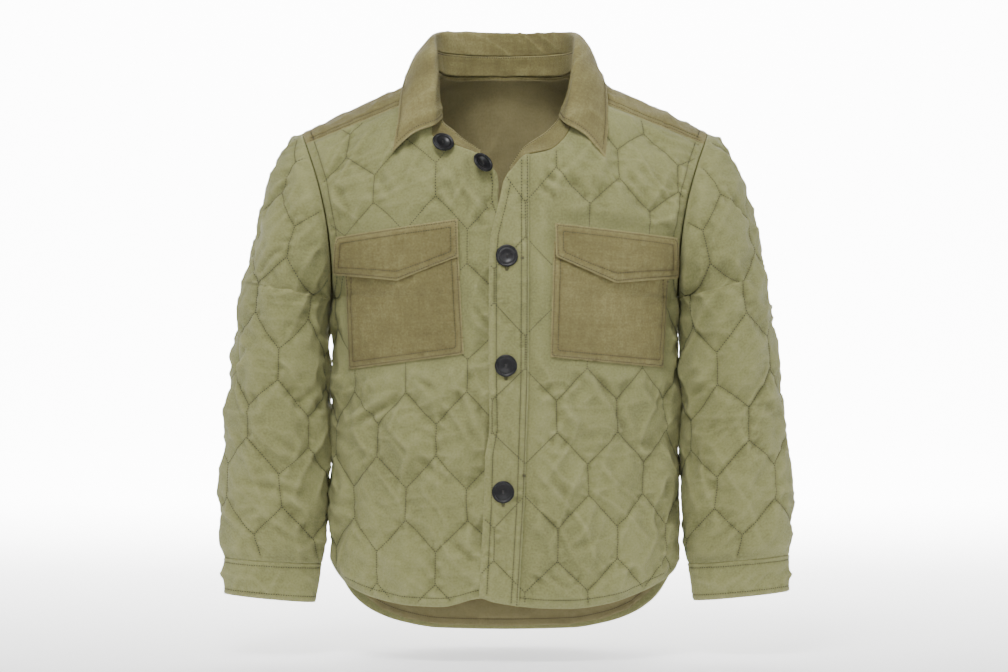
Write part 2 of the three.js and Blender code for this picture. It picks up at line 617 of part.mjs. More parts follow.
const frontOutline = (name, side) => chain(
  across(frontSeam - half, side * neckAtSeam(name), side * lengthAt(frontSeam)),
  down(side, frontSeam - half, frontArmpit, FINE),
  down(side, frontArmpit, frontSide),
  seen([[side * SIDE_END, SIDE_BOTTOM - 1], ...[...HEM[name]].sort((a, b) => side * (b[0] - a[0]))], front),
  seen([...FRONT_EDGE[name]].reverse(), front),
  neckline(name, side, SEAM_STATION, neckEnd(name)).slice(1).reverse(),
);
const OUTLINE = {
  front_left: frontOutline('left', 1),
  front_right: frontOutline('right', -1),
  yoke: chain(
    across(frontSeam + half, neckAtSeam('left'), lengthAt(frontSeam)),
    down(1, frontSeam + half, backSeam - half, FINE),
    across(backSeam - half, lengthAt(backSeam), -lengthAt(backSeam)),
    down(-1, backSeam - half, frontSeam + half, FINE),
    across(frontSeam + half, -lengthAt(frontSeam), -neckAtSeam('right')),
    neckline('right', -1, 0, SEAM_STATION).reverse().slice(1),
    neckline('left', 1, 0, SEAM_STATION).slice(1, -1),
  ),
  back: chain(
    across(backSeam + half, -lengthAt(backSeam), lengthAt(backSeam)),
    down(1, backSeam + half, backArmpit, FINE),
    down(1, backArmpit, backSide),
    seen([[SIDE_END, SIDE_BOTTOM - 1], ...[...HEM.back].reverse(), [-SIDE_END, SIDE_BOTTOM - 1]], back),
    down(-1, backSide, backArmpit),
    down(-1, backArmpit, backSeam + half, FINE),
  ),
};

// Pockets: the bag's and the flap's corners, as x and z seen from the front
const POCKETS = {
  left: {
    bag: [[54, -196], [184.5, -211], [183.4, -240.5], [177.8, -337], [50, -324.6], [53.3, -217]],
    flap: [[55.5, -176], [193.5, -191], [193.5, -234], [122, -241.4], [56, -213.6]],
  },
  right: {
    bag: [[-52, -192], [-180, -209], [-178.9, -233.8], [-175.5, -339], [-45.5, -321.3], [-51, -216.9]],
    flap: [[-52.2, -171.4], [-189, -190], [-192, -230.4], [-118.8, -239], [-51, -213.6]],
  },
};
const FLAP_BEND = [1, 9];      // below its seam a flap rises over the bag between these distances
const NARROW = 4;              // the lattice's margin on small pieces
const round = (corners) => chain(seen([...corners, corners[0]], front, 16));
const PLACKET_TOP = 1.25;      // stations of the neckline that the placket's top end takes
const placketOutline = chain(
  seen([...PLACKET.left].reverse(), front),
  neckline('left', 1, neckEnd('left') - PLACKET_TOP, neckEnd('left')).reverse().slice(1),
  seen(PLACKET.right, front),
  seen([[15, -602], [-14, -597], [-29, -591]], front).slice(1, -1),
);

// Around the armpit the wall's edge points straight out to the side.
const ARMPIT_NEAR = 14;
function besideArmpit(p, s, t) {
  const level = t < 0 ? frontArmpit : backArmpit;
  return Math.abs(t - level) < ARMPIT_NEAR ? new THREE.Vector3(Math.sign(s), 0, 0) : null;
}

// What is sewn on a panel presses its quilting flat.
function puffOver(outline, pattern, patches = []) {
  return (s, t, onBorder) => {
    if (onBorder) return 0;
    const near = clamp(toStitch(s, t, pattern) / STITCH_REACH, 0, 1);
    let rise = PUFF * Math.sin((Math.PI / 2) * near) ** FULLNESS;
    rise *= smooth(toOutline(s, t, outline), ...SEAM_FADE);
    for (const patch of patches) {
      if (inside(s, t, patch)) return 0;
      rise *= smooth(toOutline(s, t, patch), ...PATCH_FADE);
    }
    return rise;
  };
}

// Under the placket the wearer's right front passes behind the left one: it sinks between two
// distances from the placket's edge, and between two levels below the neck.
const TUCK = { deep: 4.2, from: 26, to: 7, top: 108, full: 128 };
const placketSide = [...PLACKET.left].reverse();
const placketEdge = through(placketSide.map((p) => p[1]), placketSide.map((p) => p[0]));
function tuck(s, t) {
  const p = bodyPoint(s, t);
  const edge = placketEdge(clamp(p.z, placketSide[0][1], placketSide.at(-1)[1]));
  const beside = smooth(p.x, edge - TUCK.from, edge - TUCK.to);
  return TUCK.deep * beside * smooth(-p.z, TUCK.top, TUCK.full);
}

const buttonPlaces = [
  { name: 'button_1', x: -69, z: -87, over: 'front_right' },
  { name: 'button_2', x: -25, z: -111, over: 'front_right' },
  { name: 'button_3', x: 2, z: -213, over: 'placket' },
  { name: 'button_4', x: 1, z: -334, over: 'placket' },
  { name: 'button_5', x: -2, z: -474, over: 'placket' },
];
const disc = (x, z, radius) => Array.from({ length: 12 }, (_, i) => {
  const a = (i * Math.PI) / 6;
  return front(x + radius * Math.cos(a), z + radius * Math.sin(a));
});
const circle = (s, t, radius) => Array.from({ length: 8 }, (_, i) => {
  const a = (i * Math.PI) / 4;
  return [s + radius * Math.cos(a), t + radius * Math.sin(a)];
});
const ARMPIT_FLAT = 12;        // the quilting lies flat around the armpit
const SIDE_ONLY = 180;         // beyond this length a front's edge is its side, not its neckline
const lowButtons = buttonPlaces.slice(0, 2).map(({ x, z }) => disc(x, z, BUTTON.radius));

for (const [name, side] of [['left', 1], ['right', -1]]) {
  const node = `front_${name}`;
  const pockets = [round(POCKETS[name].bag), round(POCKETS[name].flap)];
  const underarm = circle(side * lengthAt(frontArmpit), frontArmpit, ARMPIT_FLAT);
  const patches = [...pockets, underarm, ...(name === 'left' ? [placketOutline] : lowButtons)];
  const puff = puffOver(OUTLINE[node], PATTERN[node], patches);
  const sunk = name === 'right' ? tuck : () => 0;
  panel(node, {
    outline: OUTLINE[node],
    point: bodyPoint,
    facing: 1,
    pattern: PATTERN[node],
    out: (s, t, onBorder) => puff(s, t, onBorder) * (1 - sunk(s, t) / TUCK.deep) - sunk(s, t),
    inn: (s, t) => -QUILT_WALL - sunk(s, t),
    rim: (p, s, t) => (Math.abs(s) > SIDE_ONLY ? besideArmpit(p, s, t) : null),
    plain: true,
    material: quiltCloth(SAGE),
  });
  const [bag, flap] = pockets;
  panel(`pocket_${name}`, {
    outline: bag, point: bodyPoint, facing: 1, pattern: PATTERN[node],
    out: () => BAG_OFF + BAG_WALL, inn: () => BAG_OFF, material: twillCloth(TWILL),
  });
  const flapCorners = POCKETS[name].flap;
  const flapTop = (s) => {
    const [a, b] = [front(...flapCorners[0]), front(...flapCorners[1])];
    return mix(a[1], b[1], clamp((s - a[0]) / (b[0] - a[0]), 0, 1));
  };
  const lift = (s, t) => mix(BAG_OFF, BAG_OFF + BAG_WALL + FLAP_OVER, smooth(flapTop(s) - t, ...FLAP_BEND));
  panel(`flap_${name}`, {
    outline: flap, point: bodyPoint, facing: 1, pattern: PATTERN.flap, margin: NARROW,
    out: (s, t) => lift(s, t) + TWILL_WALL, inn: lift, material: twillCloth(TWILL),
  });
}
panel('placket', {
  outline: placketOutline, point: bodyPoint, facing: 1, pattern: PATTERN.front_left, margin: NARROW,
  out: () => PLACKET_OFF + QUILT_WALL, inn: () => PLACKET_OFF, material: quiltCloth(SAGE),
});
panel('yoke', {
  outline: OUTLINE.yoke, point: bodyPoint, facing: 1, pattern: PATTERN.plain,
  out: () => 0, inn: () => -TWILL_WALL, material: twillCloth(TWILL),
});
const backUnderarms = [-1, 1].map((side) => circle(side * lengthAt(backArmpit), backArmpit, ARMPIT_FLAT));
panel('back', {
  outline: OUTLINE.back, point: bodyPoint, facing: 1, pattern: PATTERN.back,
  out: puffOver(OUTLINE.back, PATTERN.back, backUnderarms), inn: () => -QUILT_WALL,
  rim: besideArmpit, material: quiltCloth(SAGE),
});

// The lining shows inside the back of the neck and inside the longer tail.
// It lies off the back's inside, more so towards the sides and under the yoke.
const LINING_TOP = 32;
const LINING_IN = 14;
const LINING_OFF = { middle: 0.7, side: 2.6, from: 100, to: 200 };
const LINING_YOKE = { extra: 1, above: 10, below: 20 };
const LINING_STEP = 30;
const liningPlace = (s, t) => {
  const off = mix(LINING_OFF.middle, LINING_OFF.side, smooth(Math.abs(s), LINING_OFF.from, LINING_OFF.to));
  const under = 1 - smooth(t, backSeam - LINING_YOKE.above, backSeam + LINING_YOKE.below);
  return -QUILT_WALL - off - LINING_YOKE.extra * under;
};
const LINING_HEM = [
  [188, SIDE_BOTTOM - 6],
  ...[...HEM.back].reverse().map(([x, z]) => [x * 0.97, z + 4]),
  [-188, SIDE_BOTTOM - 6],
];
const liningDown = (side, from, to) => down(side, from, to).map(([s, t]) => [s - side * LINING_IN, t]);
const neckToLining = [0, 1].map((i) => neckline(['left', 'right'][i], [1, -1][i], 0, 3));
const liningNeck = neckToLining[0].at(-1)[0] + 12;
panel('lining', {
  outline: chain(
    neckToLining[1].reverse(),
    neckToLining[0].slice(1),
    across(LINING_TOP, liningNeck, lengthAt(LINING_TOP) - LINING_IN),
    liningDown(1, LINING_TOP, backArmpit),
    liningDown(1, backArmpit, backSide),
    seen(LINING_HEM, back, LINING_STEP),
    liningDown(-1, backSide, backArmpit),
    liningDown(-1, backArmpit, LINING_TOP),
    across(LINING_TOP, LINING_IN - lengthAt(LINING_TOP), -liningNeck),
  ),
  point: bodyPoint, facing: 1, pattern: PATTERN.lining, margin: PLAIN.margin,
  out: liningPlace, inn: (s, t) => liningPlace(s, t) - LINING_WALL, material: twillCloth(LINING),
});

// Sleeves and cuffs
for (const [name, side] of [['left', 1], ['right', -1]]) {
  const sleeve = SLEEVES[name];
  const end = (face, t) => face * sleeve.rowAt(t).length[face < 0 ? 0 : 1];
  const edge = (face, from, to, step) => spread(from, to, step).map((t) => [end(face, t), t]);
  const cloth = chain(
    edge(1, 0.01, sleeve.armpit, 11),
    edge(1, sleeve.armpit, sleeve.cuff - half, 15),
    across(sleeve.cuff - half, end(1, sleeve.cuff - half), end(-1, sleeve.cuff - half)),
    edge(-1, sleeve.cuff - half, sleeve.armpit, 15),
    edge(-1, sleeve.armpit, 0.01, 11),
  );
  const pattern = PATTERN[`sleeve_${name}`];
  const underarms = [-1, 1].map((face) => circle(end(face, sleeve.armpit), sleeve.armpit, ARMPIT_FLAT));
  const underarm = (p, s, t) => {
    if (Math.abs(s) < Math.abs(end(Math.sign(s), t)) - 1e-6) return null;
    return p.clone().sub(sleeve.point(0, t)).setY(0).normalize();
  };
  const ring = (p, s, t) => {
    if (t > sleeve.armpit + 0.01) return underarm(p, s, t);
    const deep = p.y < 0 ? HOLE.front : HOLE.back;
    return new THREE.Vector3(0, p.y / deep ** 2, (p.z - HOLE.middleZ) / HOLE.halfHeight ** 2).normalize();
  };
  const sewn = (low) => (a, b) => a[1] !== b[1] && Math.min(a[1], b[1]) > low - 0.01;
  panel(`sleeve_${name}`, {
    outline: cloth, point: sleeve.point, facing: -side, pattern,
    out: puffOver(cloth, pattern, underarms), inn: () => -QUILT_WALL, rim: ring, sewn: sewn(sleeve.armpit),
    plain: true, material: quiltCloth(SAGE),
  });
  const cuff = chain(
    edge(1, sleeve.cuff + half, sleeve.end, 14),
    across(sleeve.end, end(1, sleeve.end), end(-1, sleeve.end), 14),
    edge(-1, sleeve.end, sleeve.cuff + half, 14),
    across(sleeve.cuff + half, end(-1, sleeve.cuff + half), end(1, sleeve.cuff + half), 20),
  );
  panel(`cuff_${name}`, {
    outline: cuff, point: sleeve.point, facing: -side, pattern: { s: 0, t: sleeve.cuff - 6 }, margin: NARROW,
    out: () => 0, inn: () => -QUILT_WALL, rim: underarm, sewn: sewn(0), material: quiltCloth(SAGE),
  });
}

// Collar: for each station of the neckline the top of the stand, the roll line, and the leaf's
// outer edge as a place on the body.
const COLLAR = {
  left: [
    { stand: [0, 77, 27.7], roll: [0, 80.5, 54], edge: back(0, -16) },
    { stand: [33, 70.5, 27.5], roll: [34, 74, 53.5], edge: back(42, -17) },
    { stand: [60, 53, 27.5], roll: [62.5, 56, 52], edge: top(76, 64) },
    { stand: [76, 28, 27.5], roll: [79, 29, 49], edge: top(97, 38) },
    { stand: [80.5, 2, 27], roll: [83, 2, 42], edge: top(107, 3) },
    { stand: [78, -34, 1], roll: [81.5, -40, 9], edge: front(113, -24) },
    { stand: [72, -46, -30], roll: [76, -62, -26], edge: front(115, -58) },
    { stand: [61, -60, -54], roll: [69, -81, -64], edge: front(111, -105) },
    { stand: [45, -76, -72] },
    { stand: [33, -80, -80] },
    { stand: [20, -84, -90] },
    { stand: [4, -91, -112] },
  ],
  right: [
    { stand: [0, 77, 27.7], roll: [0, 80.5, 54], edge: back(0, -16) },
    { stand: [33, 70.5, 27.5], roll: [34, 74, 53.5], edge: back(42, -17) },
    { stand: [60, 53, 27.5], roll: [62.5, 56, 52], edge: top(76, 64) },
    { stand: [76, 28, 27.5], roll: [79, 29, 49], edge: top(97, 38) },
    { stand: [80.5, 2, 27], roll: [83, 2, 42], edge: top(108.5, 3) },
    { stand: [78, -34, 1], roll: [82, -40, 9], edge: front(116, -30) },
    { stand: [75, -46, -30], roll: [82, -62, -26], edge: front(119, -60) },
    { stand: [71, -62, -56], roll: [81, -82, -66], edge: front(125, -98) },
    { stand: [57, -72, -70] },
    { stand: [44, -78, -81] },
    { stand: [27, -85, -92] },
  ],
};
const LEAF_STATION = 7;        // the leaf ends here on both fronts
const LEAF_LIFT = 5.5;         // its edge lies this far off the body
const LEAF_STEPS = 7;
const STAND_STEPS = 2;
const RISE = { part: 0.6, inward: 0.8 };             // the leaf's path between its seam and its roll
const FALL = { part: 0.4, outward: 3.5 };            // and between its roll and its edge
const UP = new THREE.Vector3(0, 0, 3);

function strip(name, rows, faces, firstFaces, lastFaces, wall, material) {
  const corners = [];
  rows.forEach((row) => row.forEach((p) => corners.push(p.clone())));
  const wide = rows[0].length;
  rows.forEach((row, i) => row.forEach((p, j) => {
    let normal = faces[i][j];
    if (j === 0 && firstFaces) normal = firstFaces[i];
    if (j === wide - 1 && lastFaces) normal = lastFaces[i];
    corners.push(p.clone().addScaledVector(normal, wall));
  }));
  const n = rows.length * wide;
  const triangles = [];
  const quad = (a, b, c, d) => triangles.push([a, b, c], [a, c, d]);
  for (let i = 0; i < rows.length - 1; i++) {
    for (let j = 0; j < wide - 1; j++) {
      const a = i * wide + j;
      quad(a, a + 1, a + wide + 1, a + wide);
      quad(n + a, n + a + wide, n + a + wide + 1, n + a + 1);
    }
    const first = i * wide;
    const last = first + wide - 1;
    quad(first, first + wide, n + first + wide, n + first);
    quad(last, n + last, n + last + wide, last + wide);
  }
  for (let j = 0; j < wide - 1; j++) {
    const b = (rows.length - 1) * wide + j;
    quad(j, n + j, n + j + 1, j + 1);
    quad(b, b + 1, n + b + 1, n + b);
  }
  return meshFrom(name, corners, triangles, material);
}
// Towards the neck's middle on the stand, and to the roll's outside on the leaf
function stripFaces(rows) {
  return rows.map((row, i) => row.map((_, j) => {
    const before = rows[Math.max(i - 1, 0)][j];
    const after = rows[Math.min(i + 1, rows.length - 1)][j];
    const low = row[Math.max(j - 1, 0)];
    const high = row[Math.min(j + 1, row.length - 1)];
    return after.clone().sub(before).cross(high.clone().sub(low)).normalize();
  }));
}

function collarColumn(key, place) {
  const order = [...COLLAR.right].reverse().filter((row) => row[key]).map((row) => place(row[key], -1));
  const rest = COLLAR.left.slice(1).filter((row) => row[key]).map((row) => place(row[key], 1));
  const points = [...order, ...rest];
  const first = 1 - order.length;
  const numbers = points.map((_, i) => first + i);
  const curves = ['x', 'y', 'z'].map((axis) => through(numbers, points.map((p) => p[axis])));
  return (u) => new THREE.Vector3(...curves.map((curve) => curve(u)));
}
const mirrored = ([x, y, z], side) => new THREE.Vector3(side * x, y, z);
const standTop = collarColumn('stand', mirrored);
const rollLine = collarColumn('roll', mirrored);
const leafEdge = collarColumn('edge', ([s, t], side) => {
  const p = bodyPoint(side * s, t);
  return p.addScaledVector(normalOf(bodyPoint, side * s, t, 1), LEAF_LIFT);
});
const neckPlaces = [
  ...neckline('right', -1, 0, neckEnd('right')).reverse(),
  ...neckline('left', 1, 0, neckEnd('left')).slice(1),
];
const neckNumbers = neckPlaces.map((_, i) => i / NECK_STEPS - neckEnd('right'));
const standRows = neckPlaces.map(([s, t], i) => {
  const foot = bodyPoint(s, t);
  const head = standTop(neckNumbers[i]);
  foot.addScaledVector(head.clone().sub(foot).normalize(), SEAM_GAP);
  return Array.from({ length: STAND_STEPS + 1 }, (_, k) => foot.clone().lerp(head, k / STAND_STEPS));
});
const standFaces = stripFaces(standRows);
const neckFaces = neckPlaces.map(([s, t]) => normalOf(bodyPoint, s, t, 1).negate());
strip('collar_stand', standRows, standFaces, neckFaces, null, TWILL_WALL, twillCloth(TWILL));

const leafNumbers = neckNumbers.filter((u) => Math.abs(u) <= LEAF_STATION + 1e-6);
const leafRows = leafNumbers.map((u) => {
  const row = standRows[neckNumbers.indexOf(u)];
  const foot = row.at(-1).clone().add(row.at(-1).clone().sub(row[0]).normalize().multiplyScalar(SEAM_GAP));
  const roll = rollLine(u);
  const edge = leafEdge(u);
  const outward = edge.clone().sub(foot).setZ(0).normalize();
  const path = new THREE.CatmullRomCurve3([
    foot,
    foot.clone().lerp(roll, RISE.part).addScaledVector(outward, -RISE.inward),
    roll,
    roll.clone().lerp(edge, FALL.part).addScaledVector(outward, FALL.outward).add(UP),
    edge,
  ], false, 'centripetal');
  return path.getPoints(LEAF_STEPS);
});
const leafFeet = leafNumbers.map((u) => standFaces[neckNumbers.indexOf(u)].at(-1));
strip('collar_leaf', leafRows, stripFaces(leafRows), leafFeet, null, TWILL_WALL, twillCloth(TWILL));

// Buttons, each a turned disc with a rim and a sunk middle
const profile = [
  [0, 0], [BUTTON.radius - 1, 0], [BUTTON.radius, 1.2], [BUTTON.radius, BUTTON.thick - 1],
  [BUTTON.radius - 0.9, BUTTON.thick], [BUTTON.radius - BUTTON.rim, BUTTON.thick - 0.1],
  [BUTTON.radius - BUTTON.rim - 1.4, BUTTON.thick - BUTTON.dish], [0, BUTTON.thick - BUTTON.dish],
].map(([x, y]) => new THREE.Vector2(x, y));
for (const { name, x, z, over } of buttonPlaces) {
  const [s, t] = front(x, z);
  const normal = normalOf(bodyPoint, s, t, 1);
  const turned = new THREE.LatheGeometry(profile, BUTTON.sides);
  const place = turned.getAttribute('position');
  const cornerAt = (_, i) => new THREE.Vector3().fromBufferAttribute(place, i);
  const corners = Array.from({ length: place.count }, cornerAt);
  const index = turned.getIndex();
  const faceAt = (_, i) => [0, 1, 2].map((k) => index.getX(3 * i + k));
  const faces = Array.from({ length: index.count / 3 }, faceAt);
  const material = new THREE.MeshStandardMaterial({ color: BLACK, roughness: 0.35, metalness: 0 });
  const button = meshFrom(name, corners, faces, material);
  button.quaternion.setFromUnitVectors(new THREE.Vector3(0, 1, 0), normal);
  const under = over === 'placket' ? PLACKET_OFF + QUILT_WALL : 0;
  button.position.copy(bodyPoint(s, t)).addScaledVector(normal, under + BUTTON_LIFT[over]);
}

export default object;
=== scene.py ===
# %% [markdown]
# # A quilted jacket, worn and filled out
# The jacket hangs in the air as if someone wore it, with its sleeves a little away from its body.
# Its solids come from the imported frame. They have the right size and place but a plain surface.
# Each piece of cloth is made again here, as a thin closed shell on the form of its solid, with
# quilting, folds, stitches and a woven finish.

import math

import bpy
import numpy as np
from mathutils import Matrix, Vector
from mathutils.geometry import delaunay_2d_cdt


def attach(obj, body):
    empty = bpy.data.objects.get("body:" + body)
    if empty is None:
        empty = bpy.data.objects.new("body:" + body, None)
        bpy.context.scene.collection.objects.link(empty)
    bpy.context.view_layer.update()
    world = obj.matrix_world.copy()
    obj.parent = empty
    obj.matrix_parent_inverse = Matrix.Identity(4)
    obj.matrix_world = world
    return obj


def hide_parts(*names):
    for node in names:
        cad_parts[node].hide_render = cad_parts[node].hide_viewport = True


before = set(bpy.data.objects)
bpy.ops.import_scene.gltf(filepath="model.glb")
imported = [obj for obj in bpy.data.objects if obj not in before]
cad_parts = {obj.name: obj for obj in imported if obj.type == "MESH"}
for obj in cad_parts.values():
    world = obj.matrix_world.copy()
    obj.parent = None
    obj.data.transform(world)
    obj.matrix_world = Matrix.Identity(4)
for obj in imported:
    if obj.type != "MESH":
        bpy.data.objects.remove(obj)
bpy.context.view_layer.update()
MM = 0.001
print("nodes:", len(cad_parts))

# %% [markdown]
# ## Camera, light and floor
# The picture was taken from straight in front, from far enough that nothing looks stretched. A
# long lens at 3.2 m does the same. A jacket photographed for its cloth stands in wide soft light,
# so one lamp hangs in front above and weaker ones at the side, ahead and on top. The floor is
# round and bends up into a wall all round it, without a corner that would show as a line.

# %% Camera
IMAGE_WIDE = 1008
MM_A_PIXEL = 1.15
DISTANCE = 3200
SENSOR, FAR_CLIP = 36, 50
# the middle of the picture, in millimetres from the middle of the neck's base
MIDDLE_X, MIDDLE_Z = -1.15, -301.3
camera = bpy.data.objects.new("camera", bpy.data.cameras.new("camera"))
bpy.context.scene.collection.objects.link(camera)
camera.location = (MIDDLE_X * MM, -DISTANCE * MM, MIDDLE_Z * MM)
camera.rotation_euler = (math.radians(90), 0, 0)
camera.data.sensor_width = SENSOR
camera.data.lens = SENSOR * DISTANCE / (IMAGE_WIDE * MM_A_PIXEL)
camera.data.clip_end = FAR_CLIP
bpy.context.scene.camera = camera
print("lens:", round(camera.data.lens, 1), "mm")


# %% Lamps and the sky
def lamp(name, place, aim, size, power, spread=180, colour=(1, 1, 1)):
    """A square lamp of this size at a place, turned towards a point, with a beam this wide."""
    data = bpy.data.lights.new(name, "AREA")
    data.shape = "SQUARE"
    data.size, data.energy, data.spread, data.color = size, power, math.radians(spread), colour
    made = bpy.data.objects.new(name, data)
    made.location = place
    made.rotation_euler = (Vector(aim) - Vector(place)).to_track_quat("-Z", "Y").to_euler()
    bpy.context.scene.collection.objects.link(made)
    return made


MIDDLE = (0, 0, -0.3)
lamp("key lamp", (-0.45, -1.5, 1.7), MIDDLE, 0.9, 16.5, 80)
lamp("side lamp", (2.2, -0.9, 0.8), MIDDLE, 0.6, 2.0, 60, (0.97, 0.985, 1))
lamp("front lamp", (0.2, -3.4, 0.3), MIDDLE, 1.0, 1.6, 50)
lamp("top lamp", (0, 0.1, 2.3), MIDDLE, 1.0, 0.5, 60)
lamp("backdrop lamp", (0, 1.4, 1.9), (0, 4.5, 0.3), 2.4, 420, 120)
world = bpy.data.worlds.new("studio")
world.use_nodes = True
world.node_tree.nodes["Background"].inputs["Color"].default_value = (1, 1, 1, 1)
world.node_tree.nodes["Background"].inputs["Strength"].default_value = 0.07
bpy.context.scene.world = world


# %% Small helpers for meshes and numbers
def new_object(name, points, faces):
    """An object from an array of points in millimetres and an array or list of faces."""
    mesh = bpy.data.meshes.new(name)
    faces = faces.tolist() if isinstance(faces, np.ndarray) else faces
    mesh.from_pydata((np.asarray(points) * MM).tolist(), [], faces)
    mesh.shade_smooth()
    mesh.validate()
    made = bpy.data.objects.new(name, mesh)
    bpy.context.scene.collection.objects.link(made)
    return made


def grid_faces(rows, wide, closed=False):
    """Quads between the neighbouring points of a grid of rows, closed round each row or open."""
    i, j = np.meshgrid(np.arange(rows - 1), np.arange(wide if closed else wide - 1), indexing="ij")
    a, b = i * wide + j, i * wide + (j + 1) % wide
    return np.stack([a, b, b + wide, a + wide], -1).reshape(-1, 4)


def smooth(value, low, high):
    """0 below low, 1 above high, and the curve 3u^2 - 2u^3 between them."""
    u = np.clip((value - low) / (high - low), 0, 1)
    return u * u * (3 - 2 * u)


def mix(a, b, u):
    return a + (b - a) * u


def unit(vectors):
    return vectors / np.maximum(np.linalg.norm(vectors, axis=-1, keepdims=True), 1e-9)


def lengths_along(points, axis=0):
    """The length from the start of a line to each of its points, or of each line of a grid."""
    steps = np.diff(points, axis=axis, prepend=np.take(points, [0], axis))
    return np.cumsum(np.linalg.norm(steps, axis=-1), axis)


def area_of(outline):
    """The area in a closed line, negative where it runs clockwise: half the sum, over its
    neighbouring points, of x times the next y less the next x times y."""
    x, y = outline.T
    return (x * np.roll(y, -1) - np.roll(x, -1) * y).sum() / 2


def moved_in(outline, far):
    """A closed line's points moved this far inwards, at a right angle to the line there."""
    tangent = np.roll(outline, -1, 0) - np.roll(outline, 1, 0)
    inward = np.stack([-tangent[:, 1], tangent[:, 0]], -1)
    return outline + far * (inward / np.linalg.norm(tangent, axis=1, keepdims=True))


def principled(name):
    """A material with nodes, its tree and its shader."""
    material = bpy.data.materials.new(name)
    material.use_nodes = True
    return material, material.node_tree, material.node_tree.nodes["Principled BSDF"]


def node(tree, kind, at=(0, 0), inputs=(), **settings):
    """A node at a place in a tree. inputs are values or other nodes' outputs by socket name."""
    made = tree.nodes.new(kind)
    made.location = at
    for key, value in settings.items():
        setattr(made, key, value)
    for key, value in dict(inputs).items():
        if isinstance(value, bpy.types.NodeSocket):
            tree.links.new(value, made.inputs[key])
        else:
            made.inputs[key].default_value = value
    return made


def math_node(tree, operation, a, b, at=(0, 0)):
    """A sum, difference or product of two values or outputs."""
    return node(tree, "ShaderNodeMath", at, {0: a, 1: b}, operation=operation).outputs[0]


# %% Floor
FLOOR_Z = -668
WALL_FAR, BEND = 6500, 1500


def backdrop():
    """A flat round floor that bends up through a quarter circle into a round wall. It is one
    profile, distance from the middle and height, turned about the z axis."""
    turn = np.linspace(0, np.pi / 2, 24)
    out = np.concatenate([[30], WALL_FAR - BEND + BEND * np.sin(turn), [WALL_FAR]])
    up = np.concatenate([[0], BEND * (1 - np.cos(turn)), [WALL_FAR]]) + FLOOR_Z
    angles = np.linspace(0, 2 * np.pi, 97)
    points = np.stack([np.outer(np.cos(angles), out), np.outer(np.sin(angles), out),
                       np.tile(up, (len(angles), 1))], -1).reshape(-1, 3)
    centre = [(k * len(up), (k + 1) * len(up), len(points)) for k in range(len(angles) - 1)]
    return new_object("backdrop", np.vstack([points, [(0, 0, FLOOR_Z)]]),
                      grid_faces(len(angles), len(up)).tolist() + centre)


floor = backdrop()
floor_paint, tree, paint = principled("pale floor")
paint.inputs["Base Color"].default_value = (0.7, 0.7, 0.7, 1)
paint.inputs["Roughness"].default_value = 0.9
paint.inputs["Emission Color"].default_value = (1, 1, 1, 1)
# it glows behind the jacket only, and no wider than the picture, so that no light comes from
# below, from in front or from the sides
place = node(tree, "ShaderNodeTexCoord")
parts = node(tree, "ShaderNodeSeparateXYZ", inputs={0: place.outputs["Object"]})
glow = node(tree, "ShaderNodeMapRange", inputs={
    "From Min": -0.5, "From Max": 3.0, "To Min": 0.03, "To Max": 8, "Value": parts.outputs["Y"],
})
aside = node(tree, "ShaderNodeMath", inputs={0: parts.outputs["X"]}, operation="ABSOLUTE")
narrow = node(tree, "ShaderNodeMapRange", interpolation_type="SMOOTHSTEP", inputs={
    "From Min": 1.7, "From Max": 3.6, "To Min": 1, "To Max": 0.04, "Value": aside.outputs[0],
})
both = math_node(tree, "MULTIPLY", glow.outputs["Result"], narrow.outputs["Result"])
tree.links.new(both, paint.inputs["Emission Strength"])
floor.data.materials.append(floor_paint)
print("floor at", FLOOR_Z, "mm")

# %% [markdown]
# ## The form that the cloth lies on
# A pattern cutter thinks of a garment as flat pieces that are bent round the body. This lesson
# does the same. A place on the body's cloth has two lengths: s, measured round the body from its
# middle line, and t, measured from the shoulder's ridge, down the front as a negative length and
# down the back as a positive one. A table of rows says how the body is shaped at each t, and a
# smooth curve through each column gives the rows between. Because s and t are true lengths, a
# quilting pattern drawn with them isn't stretched.

# %% Curves through a table
def through(places, values):
    """A curve through values at places. Between two of them it is a cubic whose slope at each is
    the harmonic mean of the slopes beside it, so it never overshoots, and beyond them a line."""
    places, values = np.asarray(places, float), np.asarray(values, float)
    width = np.diff(places)
    slope = np.diff(values) / width
    both = slope[:-1] * slope[1:]
    inner = np.where(both > 0, 2 * both / np.where(both > 0, slope[:-1] + slope[1:], 1), 0)
    lean = np.concatenate([slope[:1], inner, slope[-1:]])

    def curve(p):
        p = np.asarray(p, float)
        i = np.clip(np.searchsorted(places, p) - 1, 0, len(width) - 1)
        u = (p - places[i]) / width[i]
        v = np.clip(u, 0, 1)
        level = values[i] * (1 + 2 * v) * (1 - v) ** 2 + values[i + 1] * v * v * (3 - 2 * v)
        bend = lean[i] * v * (1 - v) ** 2 + lean[i + 1] * v * v * (v - 1)
        beyond = (u - v) * np.where(u < 0, lean[i], lean[i + 1])
        return level + width[i] * (bend + beyond)

    return curve


